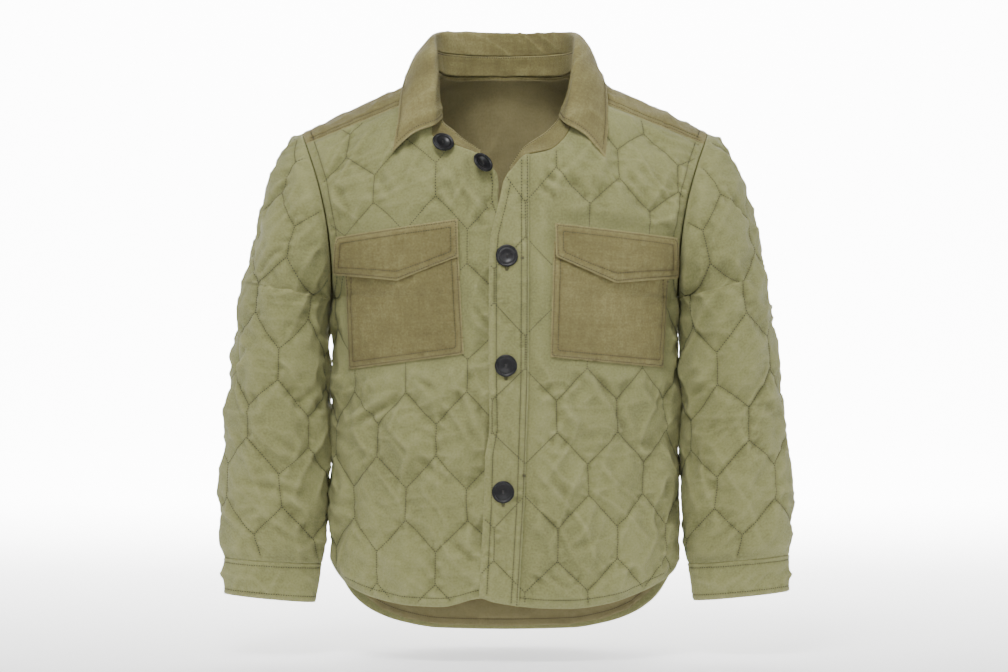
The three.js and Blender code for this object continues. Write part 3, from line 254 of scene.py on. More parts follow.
# %% The body's rows
# y and z of the row's middle, its end on the armhole in degrees, half its width, its fall, its seam
BODY_ROWS = np.array([
    (-107, -665, 180, 197.0, 2), (-108, -605, 180, 197.0, 2), (-111, -536, 180, 196.7, 2),
    (-113, -470, 180, 195.6, 2), (-116, -400, 180, 194.4, 2), (-118, -340, 180, 194.6, 2),
    (-120, -258, 180, 198, 2), (-119, -228, 135, 198, 2), (-115, -190, 110, 198, 2),
    (-107, -145, 90, 198, 1.6), (-95, -100, 75, 198, 1.4), (-80, -60, 60, 198, 1.25),
    (-62, -25, 46, 198, 1.1), (-44, 8.8, 32, 198, 1), (-24, 29, 16, 198, 1), (0, 41.7, 0, 198, 1),
    (26, 36, 13, 198, 1), (50, 22, 25, 198, 1.15), (75, 2.6, 35, 198, 1.5), (92, -22, 42, 198, 1.7),
    (100, -52, 50, 198, 1.8), (105, -85, 58, 198, 1.9), (108, -113, 64, 198, 2),
    (110, -150, 84, 198, 2), (112, -190, 105, 198, 2), (111, -228, 132, 198, 2),
    (108, -258, 180, 198, 2), (100, -340, 180, 194.6, 2), (98, -400, 180, 194.4, 2),
    (100, -470, 180, 195.6, 2), (104, -536, 180, 196.7, 2), (108, -605, 180, 197.0, 2),
    (108, -665, 180, 197.0, 2),
])
FRONT_ARMPIT_ROW, FRONT_YOKE_ROW, RIDGE_ROW, BACK_YOKE_ROW, BACK_ARMPIT_ROW = 6, 13, 15, 22, 26
# the armhole's oval: its middle's z, half its height, x at the armpit and at the shoulder's tip,
# how far its line bows inwards, and how deep it is in front and behind
HOLE = {"middle": -163, "half": 95, "armpit": 198, "tip": 233, "bow": 13, "front": 72, "back": 76}
ARC = np.linspace(0, 1, 41)
# how much a row's end bulges to the armhole at the shoulder, out of its own depth
END_EASE, DEPTH_EASE = 6, 8
# a row that ends this near 180 degrees, or beyond it, ends on the side seam
BELOW_BODY, BELOW_SLEEVE = 179.99, 179.5
AT_A_TIME = 20_000


def armhole(angle, face):
    """The armhole's tilted oval at an angle from the shoulder's tip, 0, to the armpit, 180. Its x
    is a cosine less a bow at half height; face is -1 in front and 1 behind."""
    a = np.radians(angle)
    reach = (HOLE["tip"] - HOLE["armpit"]) / 2 * (1 + np.cos(a))
    x = HOLE["armpit"] + reach - HOLE["bow"] * np.sin(a) ** 2
    y = np.where(face < 0, -HOLE["front"], HOLE["back"]) * np.sin(a)
    return x, y, HOLE["middle"] + HOLE["half"] * np.cos(a)


def body_row(y, z, hole, width, fall):
    """For each row, a function of the angle along its arc, the whole angle, and lengths along it.
    The arc is part of an ellipse from the row's middle to its end."""
    face = np.where(y < 0, -1, 1)
    below = hole > BELOW_BODY
    hole = np.minimum(hole, 180)
    ex, ey, ez = armhole(hole, face)
    ex, ey = np.where(below, width, ex + width - HOLE["armpit"]), np.where(below, 0, ey)
    ez = np.where(below, z, ez)
    ease = (1 + np.cos(np.radians(hole))) / 2
    turn = np.arccos(np.clip((np.abs(ey) + END_EASE * ease) / (np.abs(y) + DEPTH_EASE * ease), 0, 1))

    def at(angle):
        shape = (slice(None),) + (None,) * (angle.ndim - 1)
        full = turn[shape]
        part = np.sin(angle) / np.sin(full)
        deep = (np.cos(angle) - np.cos(full)) / (1 - np.cos(full))
        drop = (ez - z)[shape] * np.abs(part) ** fall[shape]
        return np.stack([ex[shape] * part, ey[shape] + (y - ey)[shape] * deep, z[shape] + drop], -1)

    return at, turn, lengths_along(at(turn[:, None] * ARC), 1), ex


def angle_at(lengths, turn, far):
    """The angle along an arc at which it has this length, by straight steps between its places."""
    i = np.clip((lengths <= far[:, None]).sum(1) - 1, 0, len(ARC) - 2)
    rows = np.arange(len(far))
    low, high = lengths[rows, i], lengths[rows, i + 1]
    return turn * (i + (far - low) / np.maximum(high - low, 1e-6)) / (len(ARC) - 1)


def length_at_x(row, x):
    """The length along a row to the place with this x."""
    _, turn, lengths, ex = row
    angle = np.arcsin(np.minimum(np.minimum(np.abs(x) / ex, 1) * np.sin(turn), 1))
    place = angle / turn * (len(ARC) - 1)
    i = np.minimum(np.floor(place).astype(int), len(ARC) - 2)
    rows = np.arange(len(i))
    return np.sign(x) * mix(lengths[rows, i], lengths[rows, i + 1], place - i)


MEASURED_AT = 120.0


def measure_body():
    """t of each row: the distances between the rows along the line 120 mm beside the middle."""
    row = body_row(*BODY_ROWS.T)
    s = length_at_x(row, np.full(len(BODY_ROWS), MEASURED_AT))
    along = lengths_along(row[0](angle_at(row[2], row[1], s)[:, None])[:, 0])
    return along - along[RIDGE_ROW]


BODY_T = measure_body()
BODY_CURVES = [through(BODY_T, column) for column in BODY_ROWS.T]
print("body rows from", BODY_T[0].round(1), "to", BODY_T[-1].round(1), "mm of cloth")


def body_rows(t):
    return body_row(*(curve(t) for curve in BODY_CURVES))


def body(s, t):
    """The body's point at two arrays of lengths, s round it and t along it."""
    out = []
    for part in np.array_split(np.arange(len(s)), max(1, len(s) // AT_A_TIME)):
        at, turn, lengths, _ = body_rows(t[part])
        angle = angle_at(lengths, turn, np.abs(s[part])) * np.sign(s[part])
        out.append(at(angle[:, None])[:, 0])
    return np.concatenate(out)


# %% Finding the cloth's place from a place seen in front, above or behind
HALVINGS = 26


def on_body(x, axis, value, low, high):
    """(s, t) of the points with this x and this y or z, by halving the range of t again and again."""
    x, value = np.broadcast_arrays(np.asarray(x, float), np.asarray(value, float))
    x, value = x.ravel(), value.ravel()

    def miss(t):
        row = body_rows(t)
        s = length_at_x(row, x)
        angle = angle_at(row[2], row[1], np.abs(s)) * np.sign(s)
        return row[0](angle[:, None])[:, 0][:, axis] - value, s

    a, b = np.full(len(x), float(low)), np.full(len(x), float(high))
    rising = miss(b)[0] > miss(a)[0]
    for _ in range(HALVINGS):
        middle = (a + b) / 2
        up = (miss(middle)[0] > 0) == rising
        a, b = np.where(up, a, middle), np.where(up, middle, b)
    return np.stack([miss(a)[1], a], -1)


def front(x, z):
    return on_body(x, 2, z, BODY_T[0] + 8, -2)


def top(x, y):
    return on_body(x, 1, y, -60, 80)


def back(x, z):
    return on_body(x, 2, z, 20, BODY_T[-1] - 8)


print("a place on the chest:", front(100, -200).round(1))

# %% [markdown]
# ## The sleeves' form
# A sleeve is a tube. Its rows go from an outer line, over the shoulder and down the arm's outside,
# both ways round. Above the armpit they end on the armhole, and below it they meet at the underarm
# seam. Here s is measured from the outer line, negative in front, and t from the shoulder's tip.

# %% Sleeve rows
# the outer point's x and z, the row's end on the armhole, the inner point's x and z, half the
# row's depth, and how far it lies back
SLEEVE_ROWS = {
    "left": np.array([
        (233, -68, 0, 198, -258, 74, 0), (244, -79, 27, 198, -258, 74, 0),
        (255, -96, 50, 198, -258, 74, 0), (274, -137, 86, 198, -258, 74, 0),
        (287.5, -194, 128, 198, -258, 74, 0), (297, -235, 180, 198, -258, 74, 1),
        (303, -275, 180, 203, -300, 72, 2), (310.5, -328, 180, 201.5, -358, 67, 3),
        (320.5, -415, 180, 201.5, -440, 57, 0), (325, -470, 180, 203, -492, 50, -4),
        (326.5, -515, 180, 204.5, -531, 43, -8), (325.5, -551, 180, 209, -561, 33, -11),
        (325.5, -593, 180, 215, -604, 24, -13),
    ]),
    "right": np.array([
        (233, -68, 0, 198, -258, 74, 0), (244, -79, 27, 198, -258, 74, 0),
        (255, -98, 50, 198, -258, 74, 0), (273, -145, 88, 198, -258, 74, 0),
        (287, -204, 130, 198, -258, 74, 0), (296, -245, 180, 198, -258, 74, 1),
        (302, -285, 180, 203, -302, 72, 2), (309.5, -338, 180, 201.5, -358, 67, 3),
        (319, -415, 180, 201.5, -436, 57, 0), (323.5, -465, 180, 203, -484, 50, -4),
        (325, -512, 180, 204.5, -526, 43, -8), (322, -554, 180, 209, -561, 33, -11),
        (322, -596, 180, 216, -606, 24, -13),
    ]),
}
SLEEVE_ARMPIT_ROW, CUFF_ROW = 5, 11
MEASURED_SHARE = 0.4
SEAM_GAP = 0.3


def sleeve_row(face, out_x, out_z, hole, in_x, in_z, depth, y):
    """Half a row, in front or behind: part of an ellipse from the outer point to the row's end."""
    below = hole > BELOW_SLEEVE
    hole = np.minimum(hole, 180)
    turn = np.radians(hole + 90 * (1 - hole / 180) ** 2)
    ex, ey, ez = armhole(hole, face)
    half_x = (out_x - np.where(below, in_x, ex)) / (1 - np.cos(turn))
    half_z = (out_z - np.where(below, in_z, ez)) / (1 - np.cos(turn))
    deep = np.where(below, face * depth, ey / np.maximum(np.sin(turn), 1e-9))

    def at(angle):
        shape = (slice(None),) + (None,) * (angle.ndim - 1)
        swing = 1 - np.cos(angle)
        return np.stack([
            out_x[shape] - half_x[shape] * swing,
            y[shape] + deep[shape] * np.sin(angle),
            out_z[shape] - half_z[shape] * swing,
        ], -1)

    return at, turn, lengths_along(at(turn[:, None] * ARC), 1)


class Sleeve:
    """A sleeve's surface, its half lengths and its levels."""

    def __init__(self, name, side):
        rows = SLEEVE_ROWS[name]
        self.side = side
        at, turn, lengths = sleeve_row(np.full(len(rows), -1), *rows.T)
        along = lengths_along(at(angle_at(lengths, turn, MEASURED_SHARE * lengths[:, -1])[:, None])[:, 0])
        self.curves = [through(along, column) for column in rows.T]
        self.armpit, self.cuff, self.end = along[SLEEVE_ARMPIT_ROW], along[CUFF_ROW], along[-1]

    def rows(self, face, t):
        return sleeve_row(face, *(curve(np.maximum(t, 0.01)) for curve in self.curves))

    def half(self, face, t):
        """The length from the outer line to the row's end, at an array of levels."""
        t = np.atleast_1d(np.asarray(t, float))
        return self.rows(np.full(len(t), face), t)[2][:, -1]

    def __call__(self, s, t):
        out = []
        for part in np.array_split(np.arange(len(s)), max(1, len(s) // AT_A_TIME)):
            at, turn, lengths = self.rows(np.where(s[part] < 0, -1, 1), t[part])
            out.append(at(angle_at(lengths, turn, np.abs(s[part]))[:, None])[:, 0])
        points = np.concatenate(out)
        points[:, 0] = self.side * (points[:, 0] + SEAM_GAP * smooth(t, 0, 40))
        return points


SLEEVES = {"left": Sleeve("left", 1), "right": Sleeve("right", -1)}
print("sleeve length:", {name: round(float(sleeve.end)) for name, sleeve in SLEEVES.items()}, "mm")


SMALL_STEP = 0.6


def normals(surface, s, t, facing, step=SMALL_STEP):
    """Unit vectors that stand on a surface: the cross product of a step along s and one along t."""
    across = surface(s + step, t) - surface(s - step, t)
    along = surface(s, t + step) - surface(s, t - step)
    return facing * unit(np.cross(across, along))


# %% [markdown]
# ## Cutting the pieces
# Each piece is an outline in s and t. Outlines are written as places seen from the front, above or
# behind, which are easy to read off the garment, and turned into cloth lengths. Neighbours share a
# seam, where each stops short by half a small gap.

# %% Walking along lines of cloth
def walk(points, step=3.0, curved=False):
    """Points a step apart along a line through points, straight or as a smooth curve."""
    points = np.asarray(points, float)
    along = lengths_along(points)
    places = np.linspace(0, along[-1], max(2, round(along[-1] / step) + 1))
    if curved:
        return np.stack([through(along, column)(places) for column in points.T], -1)
    return np.stack([np.interp(places, along, column) for column in points.T], -1)


def seen(points, find, curved=False, step=3.0):
    """A line given as places seen from outside, walked and found on the cloth."""
    x, value = walk(points, step, curved).T
    return find(x, value)


def half_length(t):
    return body_rows(np.atleast_1d(np.asarray(t, float)))[2][:, -1] - SEAM_GAP / 2


def levels(low, high, step=3.0):
    return np.linspace(low, high, max(2, round(abs(high - low) / step) + 1))


def down(side, low, high, inwards=0.0):
    """The line down a side seam or armhole, or this far inside it."""
    t = levels(low, high)
    return np.stack([side * (half_length(t) - inwards), t], -1)


def across(t, low, high):
    s = levels(low, high)
    return np.stack([s, np.full(len(s), t)], -1)


def chain(*parts):
    """Joins lines into one closed outline that runs anticlockwise, without doubled points."""
    line = np.concatenate(parts)
    line = line[np.linalg.norm(line - np.roll(line, -1, 0), axis=1) > 0.6]
    return line if area_of(line) > 0 else line[::-1]


# %% Seams, edges and the neckline
# the yoke's seams and the armpits as t, then the side seams' lower end
FRONT_YOKE, BACK_YOKE = BODY_T[FRONT_YOKE_ROW], BODY_T[BACK_YOKE_ROW]
FRONT_ARMPIT, BACK_ARMPIT = BODY_T[FRONT_ARMPIT_ROW], BODY_T[BACK_ARMPIT_ROW]
HALF_GAP = SEAM_GAP / 2
SIDE_BOTTOM, SIDE_END = -567, 196.4
FRONT_SIDE, BACK_SIDE = front(190, SIDE_BOTTOM)[0, 1], back(190, SIDE_BOTTOM)[0, 1]
NECK_SEAM_STATION = 5


def neck_stations(front_part):
    row = body_rows(np.array([FRONT_YOKE]))
    seam = [length_at_x(row, np.array([80.0]))[0], FRONT_YOKE]
    behind = top(*np.transpose([(0, 75), (32, 68), (58, 50), (73, 26), (78.5, 0)]))
    return np.concatenate([behind, [seam], front(*np.transpose(front_part))])


NECK = {
    "left": neck_stations([(78, -50), (69, -75), (51, -92), (38, -95.5), (23, -99), (7, -116)]),
    "right": neck_stations([(81, -50), (82, -74), (66, -82), (51, -88.5), (28, -97)]),
}
NECK_END = {name: len(stations) - 1 for name, stations in NECK.items()}


def neckline(name, side, low, high, each=8):
    """The neck seam from the middle of the back, at station 0, to a front end."""
    numbers = np.arange(len(NECK[name]))
    u = np.linspace(low, high, max(2, round((high - low) * each) + 1))
    s, t = (through(numbers, column)(u) for column in NECK[name].T)
    return np.stack([side * s, t], -1)


HEM = {
    "left": [(-29, -591), (-14, -597), (15, -602), (41, -604.5), (75, -605.5), (113, -601.5), (150, -591),
             (178, -579.5), (SIDE_END, SIDE_BOTTOM - 1)],
    "right": [(20, -592), (-29, -594), (-73, -603.5), (-102, -603), (-147, -596), (-178, -584),
              (-SIDE_END, SIDE_BOTTOM - 1)],
    "back": [(-SIDE_END, SIDE_BOTTOM - 1), (-178, -603), (-153, -625), (-121, -638.5), (-78, -647),
             (0, -649.5), (78, -647), (121, -638.5), (153, -625), (178, -603), (SIDE_END, SIDE_BOTTOM - 1)],
}
FRONT_EDGE = {
    "left": [(4, -119), (-1, -130), (-7, -158), (-15, -190), (-17, -220), (-17, -350), (-16, -405),
             (-21, -433), (-22, -480), (-28, -591)],
    "right": [(-28, -97), (-9, -119), (-7, -130), (-8, -150), (0, -172), (14, -200), (20, -232), (20, -410),
              (20, -592)],
}
# the band's two edges from the neck down, and how many stations of the neck seam it takes up
PLACKET_LEFT = [(3, -120), (-2, -130), (-8, -158), (-16, -190), (-18, -220), (-18, -350), (-17, -405),
                (-22, -433), (-23, -480), (-29, -591)]
PLACKET_RIGHT = [(27, -98), (26.5, -220), (26, -350), (22, -480), (15, -601)]
PLACKET_TOP = 1.25


def front_outline(name, side):
    seam_end = side * half_length(FRONT_YOKE)[0]
    return chain(
        across(FRONT_YOKE - HALF_GAP, side * NECK[name][NECK_SEAM_STATION][0], seam_end),
        down(side, FRONT_YOKE - HALF_GAP, FRONT_ARMPIT),
        down(side, FRONT_ARMPIT, FRONT_SIDE),
        seen(HEM[name][::-1], front, True),
        seen(FRONT_EDGE[name][::-1], front),
        neckline(name, side, NECK_SEAM_STATION, NECK_END[name])[::-1],
    )


OUTLINES = {
    "front_left": front_outline("left", 1),
    "front_right": front_outline("right", -1),
    "yoke": chain(
        across(FRONT_YOKE + HALF_GAP, NECK["left"][NECK_SEAM_STATION][0], half_length(FRONT_YOKE)[0]),
        down(1, FRONT_YOKE + HALF_GAP, BACK_YOKE - HALF_GAP),
        across(BACK_YOKE - HALF_GAP, half_length(BACK_YOKE)[0], -half_length(BACK_YOKE)[0]),
        down(-1, BACK_YOKE - HALF_GAP, FRONT_YOKE + HALF_GAP),
        across(FRONT_YOKE + HALF_GAP, -half_length(FRONT_YOKE)[0], -NECK["right"][NECK_SEAM_STATION][0]),
        neckline("right", -1, 0, NECK_SEAM_STATION)[::-1],
        neckline("left", 1, 0, NECK_SEAM_STATION),
    ),
    "back": chain(
        across(BACK_YOKE + HALF_GAP, -half_length(BACK_YOKE)[0], half_length(BACK_YOKE)[0]),
        down(1, BACK_YOKE + HALF_GAP, BACK_ARMPIT),
        down(1, BACK_ARMPIT, BACK_SIDE),
        seen(HEM["back"][::-1], back, True),
        down(-1, BACK_SIDE, BACK_ARMPIT),
        down(-1, BACK_ARMPIT, BACK_YOKE + HALF_GAP),
    ),
    "placket": chain(
        seen(PLACKET_LEFT[::-1], front),
        neckline("left", 1, NECK_END["left"] - PLACKET_TOP, NECK_END["left"])[::-1],
        seen(PLACKET_RIGHT, front),
        seen([(15, -602), (-14, -597), (-29, -591)], front),
    ),
}
POCKETS = {
    "left": {
        "bag": [(54, -196), (184.5, -211), (183.4, -240.5), (177.8, -337), (50, -324.6), (53.3, -217)],
        "flap": [(55.5, -176), (193.5, -191), (193.5, -234), (122, -241.4), (56, -213.6)],
    },
    "right": {
        "bag": [(-52, -192), (-180, -209), (-178.9, -233.8), (-175.5, -339), (-45.5, -321.3), (-51, -216.9)],
        "flap": [(-52.2, -171.4), (-189, -190), (-192, -230.4), (-118.8, -239), (-51, -213.6)],
    },
}
for name, parts in POCKETS.items():
    for part, corners in parts.items():
        OUTLINES[f"{part}_{name}"] = chain(seen([*corners, corners[0]], front))
print("outlines:", {name: len(line) for name, line in OUTLINES.items()})

# %% [markdown]
# ## Filling an outline
# A grid of points covers the outline. Points too near the edge go, and rings of points that
# follow the edge take their place, so the edge can be rounded. Points are also set along every
# stitch line, because the cloth has its deepest valleys there. A Delaunay triangulation joins
# them all and leaves out what lies outside.

# %% Distances in the plane of the cloth
def to_segments(points, starts, ends):
    """From each point the distance to the nearest of some segments, and how far along them all it
    is: the foot of the perpendicular, kept between a segment's ends."""
    best, along = np.full(len(points), 1e9), np.zeros(len(points))
    sx, sy = starts.T
    rx, ry = (ends - starts).T
    size = np.maximum(rx ** 2 + ry ** 2, 1e-9)
    before = np.concatenate([[0], np.cumsum(np.sqrt(size))[:-1]])
    for part in np.array_split(np.arange(len(points)), max(1, len(points) * len(starts) // 60_000)):
        x, y = points[part].T[:, :, None] - np.stack([sx, sy])[:, None]
        u = np.clip((x * rx + y * ry) / size, 0, 1)
        far = (x - u * rx) ** 2 + (y - u * ry) ** 2
        near = far.argmin(1)
        rows = np.arange(len(part))
        best[part] = np.sqrt(far[rows, near])
        along[part] = before[near] + u[rows, near] * np.sqrt(size[near])
    return best, along


def to_line(points, line, closed=True):
    """The same for a line. Points that are far from it are measured to every fifth point only."""
    line = np.asarray(line)
    starts, ends = (line, np.roll(line, -1, 0)) if closed else (line[:-1], line[1:])
    if len(points) * len(line) < 100_000:
        return to_segments(points, starts, ends)
    rough = line[::5]
    far, along = to_segments(points, rough[:-1], rough[1:])
    near = far < 45
    far[near], along[near] = to_segments(points[near], starts, ends)
    return far, along


def inside(points, line):
    """Whether a ray from each point crosses a closed line an odd number of times."""
    x0, y0 = line.T
    x1, y1 = np.roll(line, -1, 0).T
    odd = np.zeros(len(points), bool)
    for part in np.array_split(np.arange(len(points)), max(1, len(points) * len(line) // 100_000)):
        x, y = points[part].T[:, :, None]
        cross = (y0 > y) != (y1 > y)
        with np.errstate(divide="ignore", invalid="ignore"):
            left = x < x0 + (y - y0) * (x1 - x0) / (y1 - y0)
        odd[part] = (cross & left).sum(1) % 2 == 1
    return odd


def fill(outline, step, lines=(), rings=(0.8, 1.9, 3.4)):
    """Points and triangles of a filled outline. The outline's own points come first."""
    points = [outline]
    for ring in rings:
        moved = moved_in(outline, ring)
        points.append(moved[inside(moved, outline) & (to_line(moved, outline)[0] > 0.9 * ring)])
    margin = max(rings, default=0) + 0.5 * step
    low, high = outline.min(0), outline.max(0)
    columns, rows = np.arange(low[0], high[0], step), np.arange(low[1], high[1], step * 0.866)
    grid = np.stack(np.meshgrid(columns, rows), -1)
    grid[1::2, :, 0] += step / 2
    grid = grid.reshape(-1, 2)
    grid = grid[inside(grid, outline)]
    grid = grid[to_line(grid, outline)[0] > margin]
    if len(lines):
        on = np.concatenate(lines)
        on = on[inside(on, outline)]
        on = on[to_line(on, outline)[0] > margin - 0.3 * step]
        sparse = [line[::4] if len(line) % 4 == 1 else np.vstack([line[::4], line[-1:]])
                  for line in lines]
        starts = np.concatenate([line[:-1] for line in sparse])
        ends = np.concatenate([line[1:] for line in sparse])
        grid = grid[to_segments(grid, starts, ends)[0] > 0.45 * step]
        points.append(on)
    points.append(grid)
    points = np.concatenate(points)
    made = delaunay_2d_cdt([Vector(p) for p in points.tolist()], [], [list(range(len(outline)))], 1, 1e-4)
    return np.array([tuple(p) for p in made[0]]), np.array(made[2])


trial = fill(OUTLINES["flap_left"], 4)
print("a flap filled:", len(trial[0]), "points,", len(trial[1]), "triangles")


# %% [markdown]
# ## Quilting, folds and wrinkles
# Onion quilting is rows of upright stitch lines that fork into slants, so that each cell is a
# drawn out hexagon. Between the lines the wadding lifts the shell, steeply beside the thread and
# then nearly flat. No two cells are alike, and the thread pulls small puckers across its line.
# Larger folds come from the way a body fills the garment. Those that the eye knows a jacket by
# are listed one by one, and the rest is uneven noise that is stretched along the folds' direction.

# %% Noise
LATTICE = 97


def ripple(s, t, size, seed):
    """Smooth noise from -1 to 1: random values at the crossings of a lattice, blended between."""
    values = np.random.default_rng(seed).uniform(-1, 1, (LATTICE, LATTICE))
    x, y = s / size, t / size
    i, j = np.floor(x).astype(int), np.floor(y).astype(int)
    u, v = smooth(x - i, 0, 1), smooth(y - j, 0, 1)
    corner = lambda a, b: values[(i + a) % LATTICE, (j + b) % LATTICE]
    return mix(mix(corner(0, 0), corner(1, 0), u), mix(corner(0, 1), corner(1, 1), u), v)


def folds(s, t, angle, long, wide, seed):
    """Ridges that run at an angle to s, in degrees: noise stretched along them, made sharp where
    it passes through zero."""
    a = np.radians(angle)
    bend = 0.35 * wide * ripple(s, t, 2.2 * wide, seed + 1)
    along = (s * np.cos(a) + t * np.sin(a)) / long
    over = (-s * np.sin(a) + t * np.cos(a) + bend) / wide
    return (1 - np.abs(ripple(along, over, 1, seed))) ** 3


# %% The quilting's lines and cells
# a cell's width, the distance between two rows of cells, the length of a cell's upright sides,
# and how far the needle strays
CELL_WIDE, CELL_STEP, CELL_EDGE = 71, 71.5, 36
STRAY = 1.4
# a stitch every 2.8 mm, of which 1.6 mm show, and how far its ends lie off the cloth
STITCH, THREAD_LONG, THREAD_OFF = 2.8, 1.6, 0.35
# the middle of one cell of each piece, as s and t
PATTERNS = {
    "front_left": (58, front(58, -390)[0, 1]),
    "front_right": (-78, front(78, -417.7)[0, 1]),
    "back": (0, back(0, -400)[0, 1]),
    "sleeve_left": (-79, 357),
    "sleeve_right": (-61, 357),
}


def wander(points):
    """How far the needle strays from the drawn pattern: up to 1.4 mm of slow noise."""
    s, t = points.T
    return STRAY * np.stack([ripple(s, t, 46, 5), ripple(s, t, 46, 6)], -1)


def quilt_lines(pattern, low, high):
    """The pattern's stitch lines over a box of cloth, each a row of points one stitch apart."""
    s0, t0 = pattern
    lines = []
    for row in range(math.floor((low[1] - t0) / CELL_STEP) - 1, math.ceil((high[1] - t0) / CELL_STEP) + 2):
        level = t0 - CELL_EDGE / 2 + row * CELL_STEP
        shift = 0.5 * (row % 2)
        for k in range(math.floor((low[0] - s0) / CELL_WIDE) - 1, math.ceil((high[0] - s0) / CELL_WIDE) + 2):
            s = s0 + (k - shift) * CELL_WIDE
            for aside, up in ((0, 0), (-CELL_WIDE / 2, CELL_STEP), (CELL_WIDE / 2, CELL_STEP)):
                line = walk([(s, level + CELL_EDGE), (s + aside, level + up)], STITCH)
                lines.append(line + wander(line))
    return lines


def to_quilting(points, pattern):
    """The distance from each point to the nearest stitch line, and a length along that line. The
    pattern repeats, so only the four lines around one cell's corner are measured."""
    s, t = (points - wander(points)).T
    level = (t - pattern[1] + CELL_EDGE / 2) / CELL_STEP
    row = np.floor(level)
    turns = (s - pattern[0]) / CELL_WIDE + 0.5 * (row % 2)
    column = np.round(turns)
    near = np.stack([np.abs(turns - column) * CELL_WIDE, (level - row) * CELL_STEP], -1)
    half = CELL_WIDE / 2
    starts = np.array([(0, 0), (0, CELL_EDGE), (half, CELL_EDGE - CELL_STEP), (half, CELL_STEP)], float)
    ends = np.array([(0, CELL_EDGE), (half, CELL_STEP), (0, 0), (half, CELL_STEP + CELL_EDGE)], float)
    far, along = to_segments(near, starts, ends)
    return far, along + 307 * row + 211 * column + 97 * (turns > column)


def cell_centres(s, t, pattern):
    """The centre of the cell that each point lies in: the nearest one of a skewed lattice."""
    s0, t0 = pattern
    best, centre = np.full(len(s), 1e9), np.zeros((len(s), 2))
    row = np.round((t - t0) / CELL_STEP)
    for nearby in (-1, 0, 1):
        level = row + nearby
        shift = 0.5 * (level % 2) - 0.5
        middle_s = s0 + (np.round((s - s0) / CELL_WIDE + shift) - shift) * CELL_WIDE
        middle_t = t0 + level * CELL_STEP
        far = np.hypot(s - middle_s, t - middle_t)
        closer = far < best
        best[closer] = far[closer]
        centre[closer] = np.stack([middle_s, middle_t], -1)[closer]
    return centre


# %% [markdown]
# ## From flat cloth to a piece
# A piece is an outer face and a plain inner face over the same outline, joined at the rim. The
# outer face gets the quilting, the folds, a valley under each line of stitches and a rounded edge.
# What the material needs later is kept on the mesh: the cloth's own lengths as its UV map, and
# as attributes how near each point is to a stitch line and to an edge, and how hollow it lies.

# %% The height of the cloth
# how thick each cloth is, and how wide its rounded rim
QUILT_WALL, TWILL_WALL, BAG_WALL, LINING_WALL = 2.6, 2.0, 1.6, 1.0
ROUND = 2.6
# folds over the whole piece: height, angle, length, width and a number for their noise
FOLDS = ((3.6, 62, 60, 24, 20), (3.2, -48, 55, 22, 24), (2.0, 8, 40, 15, 28))


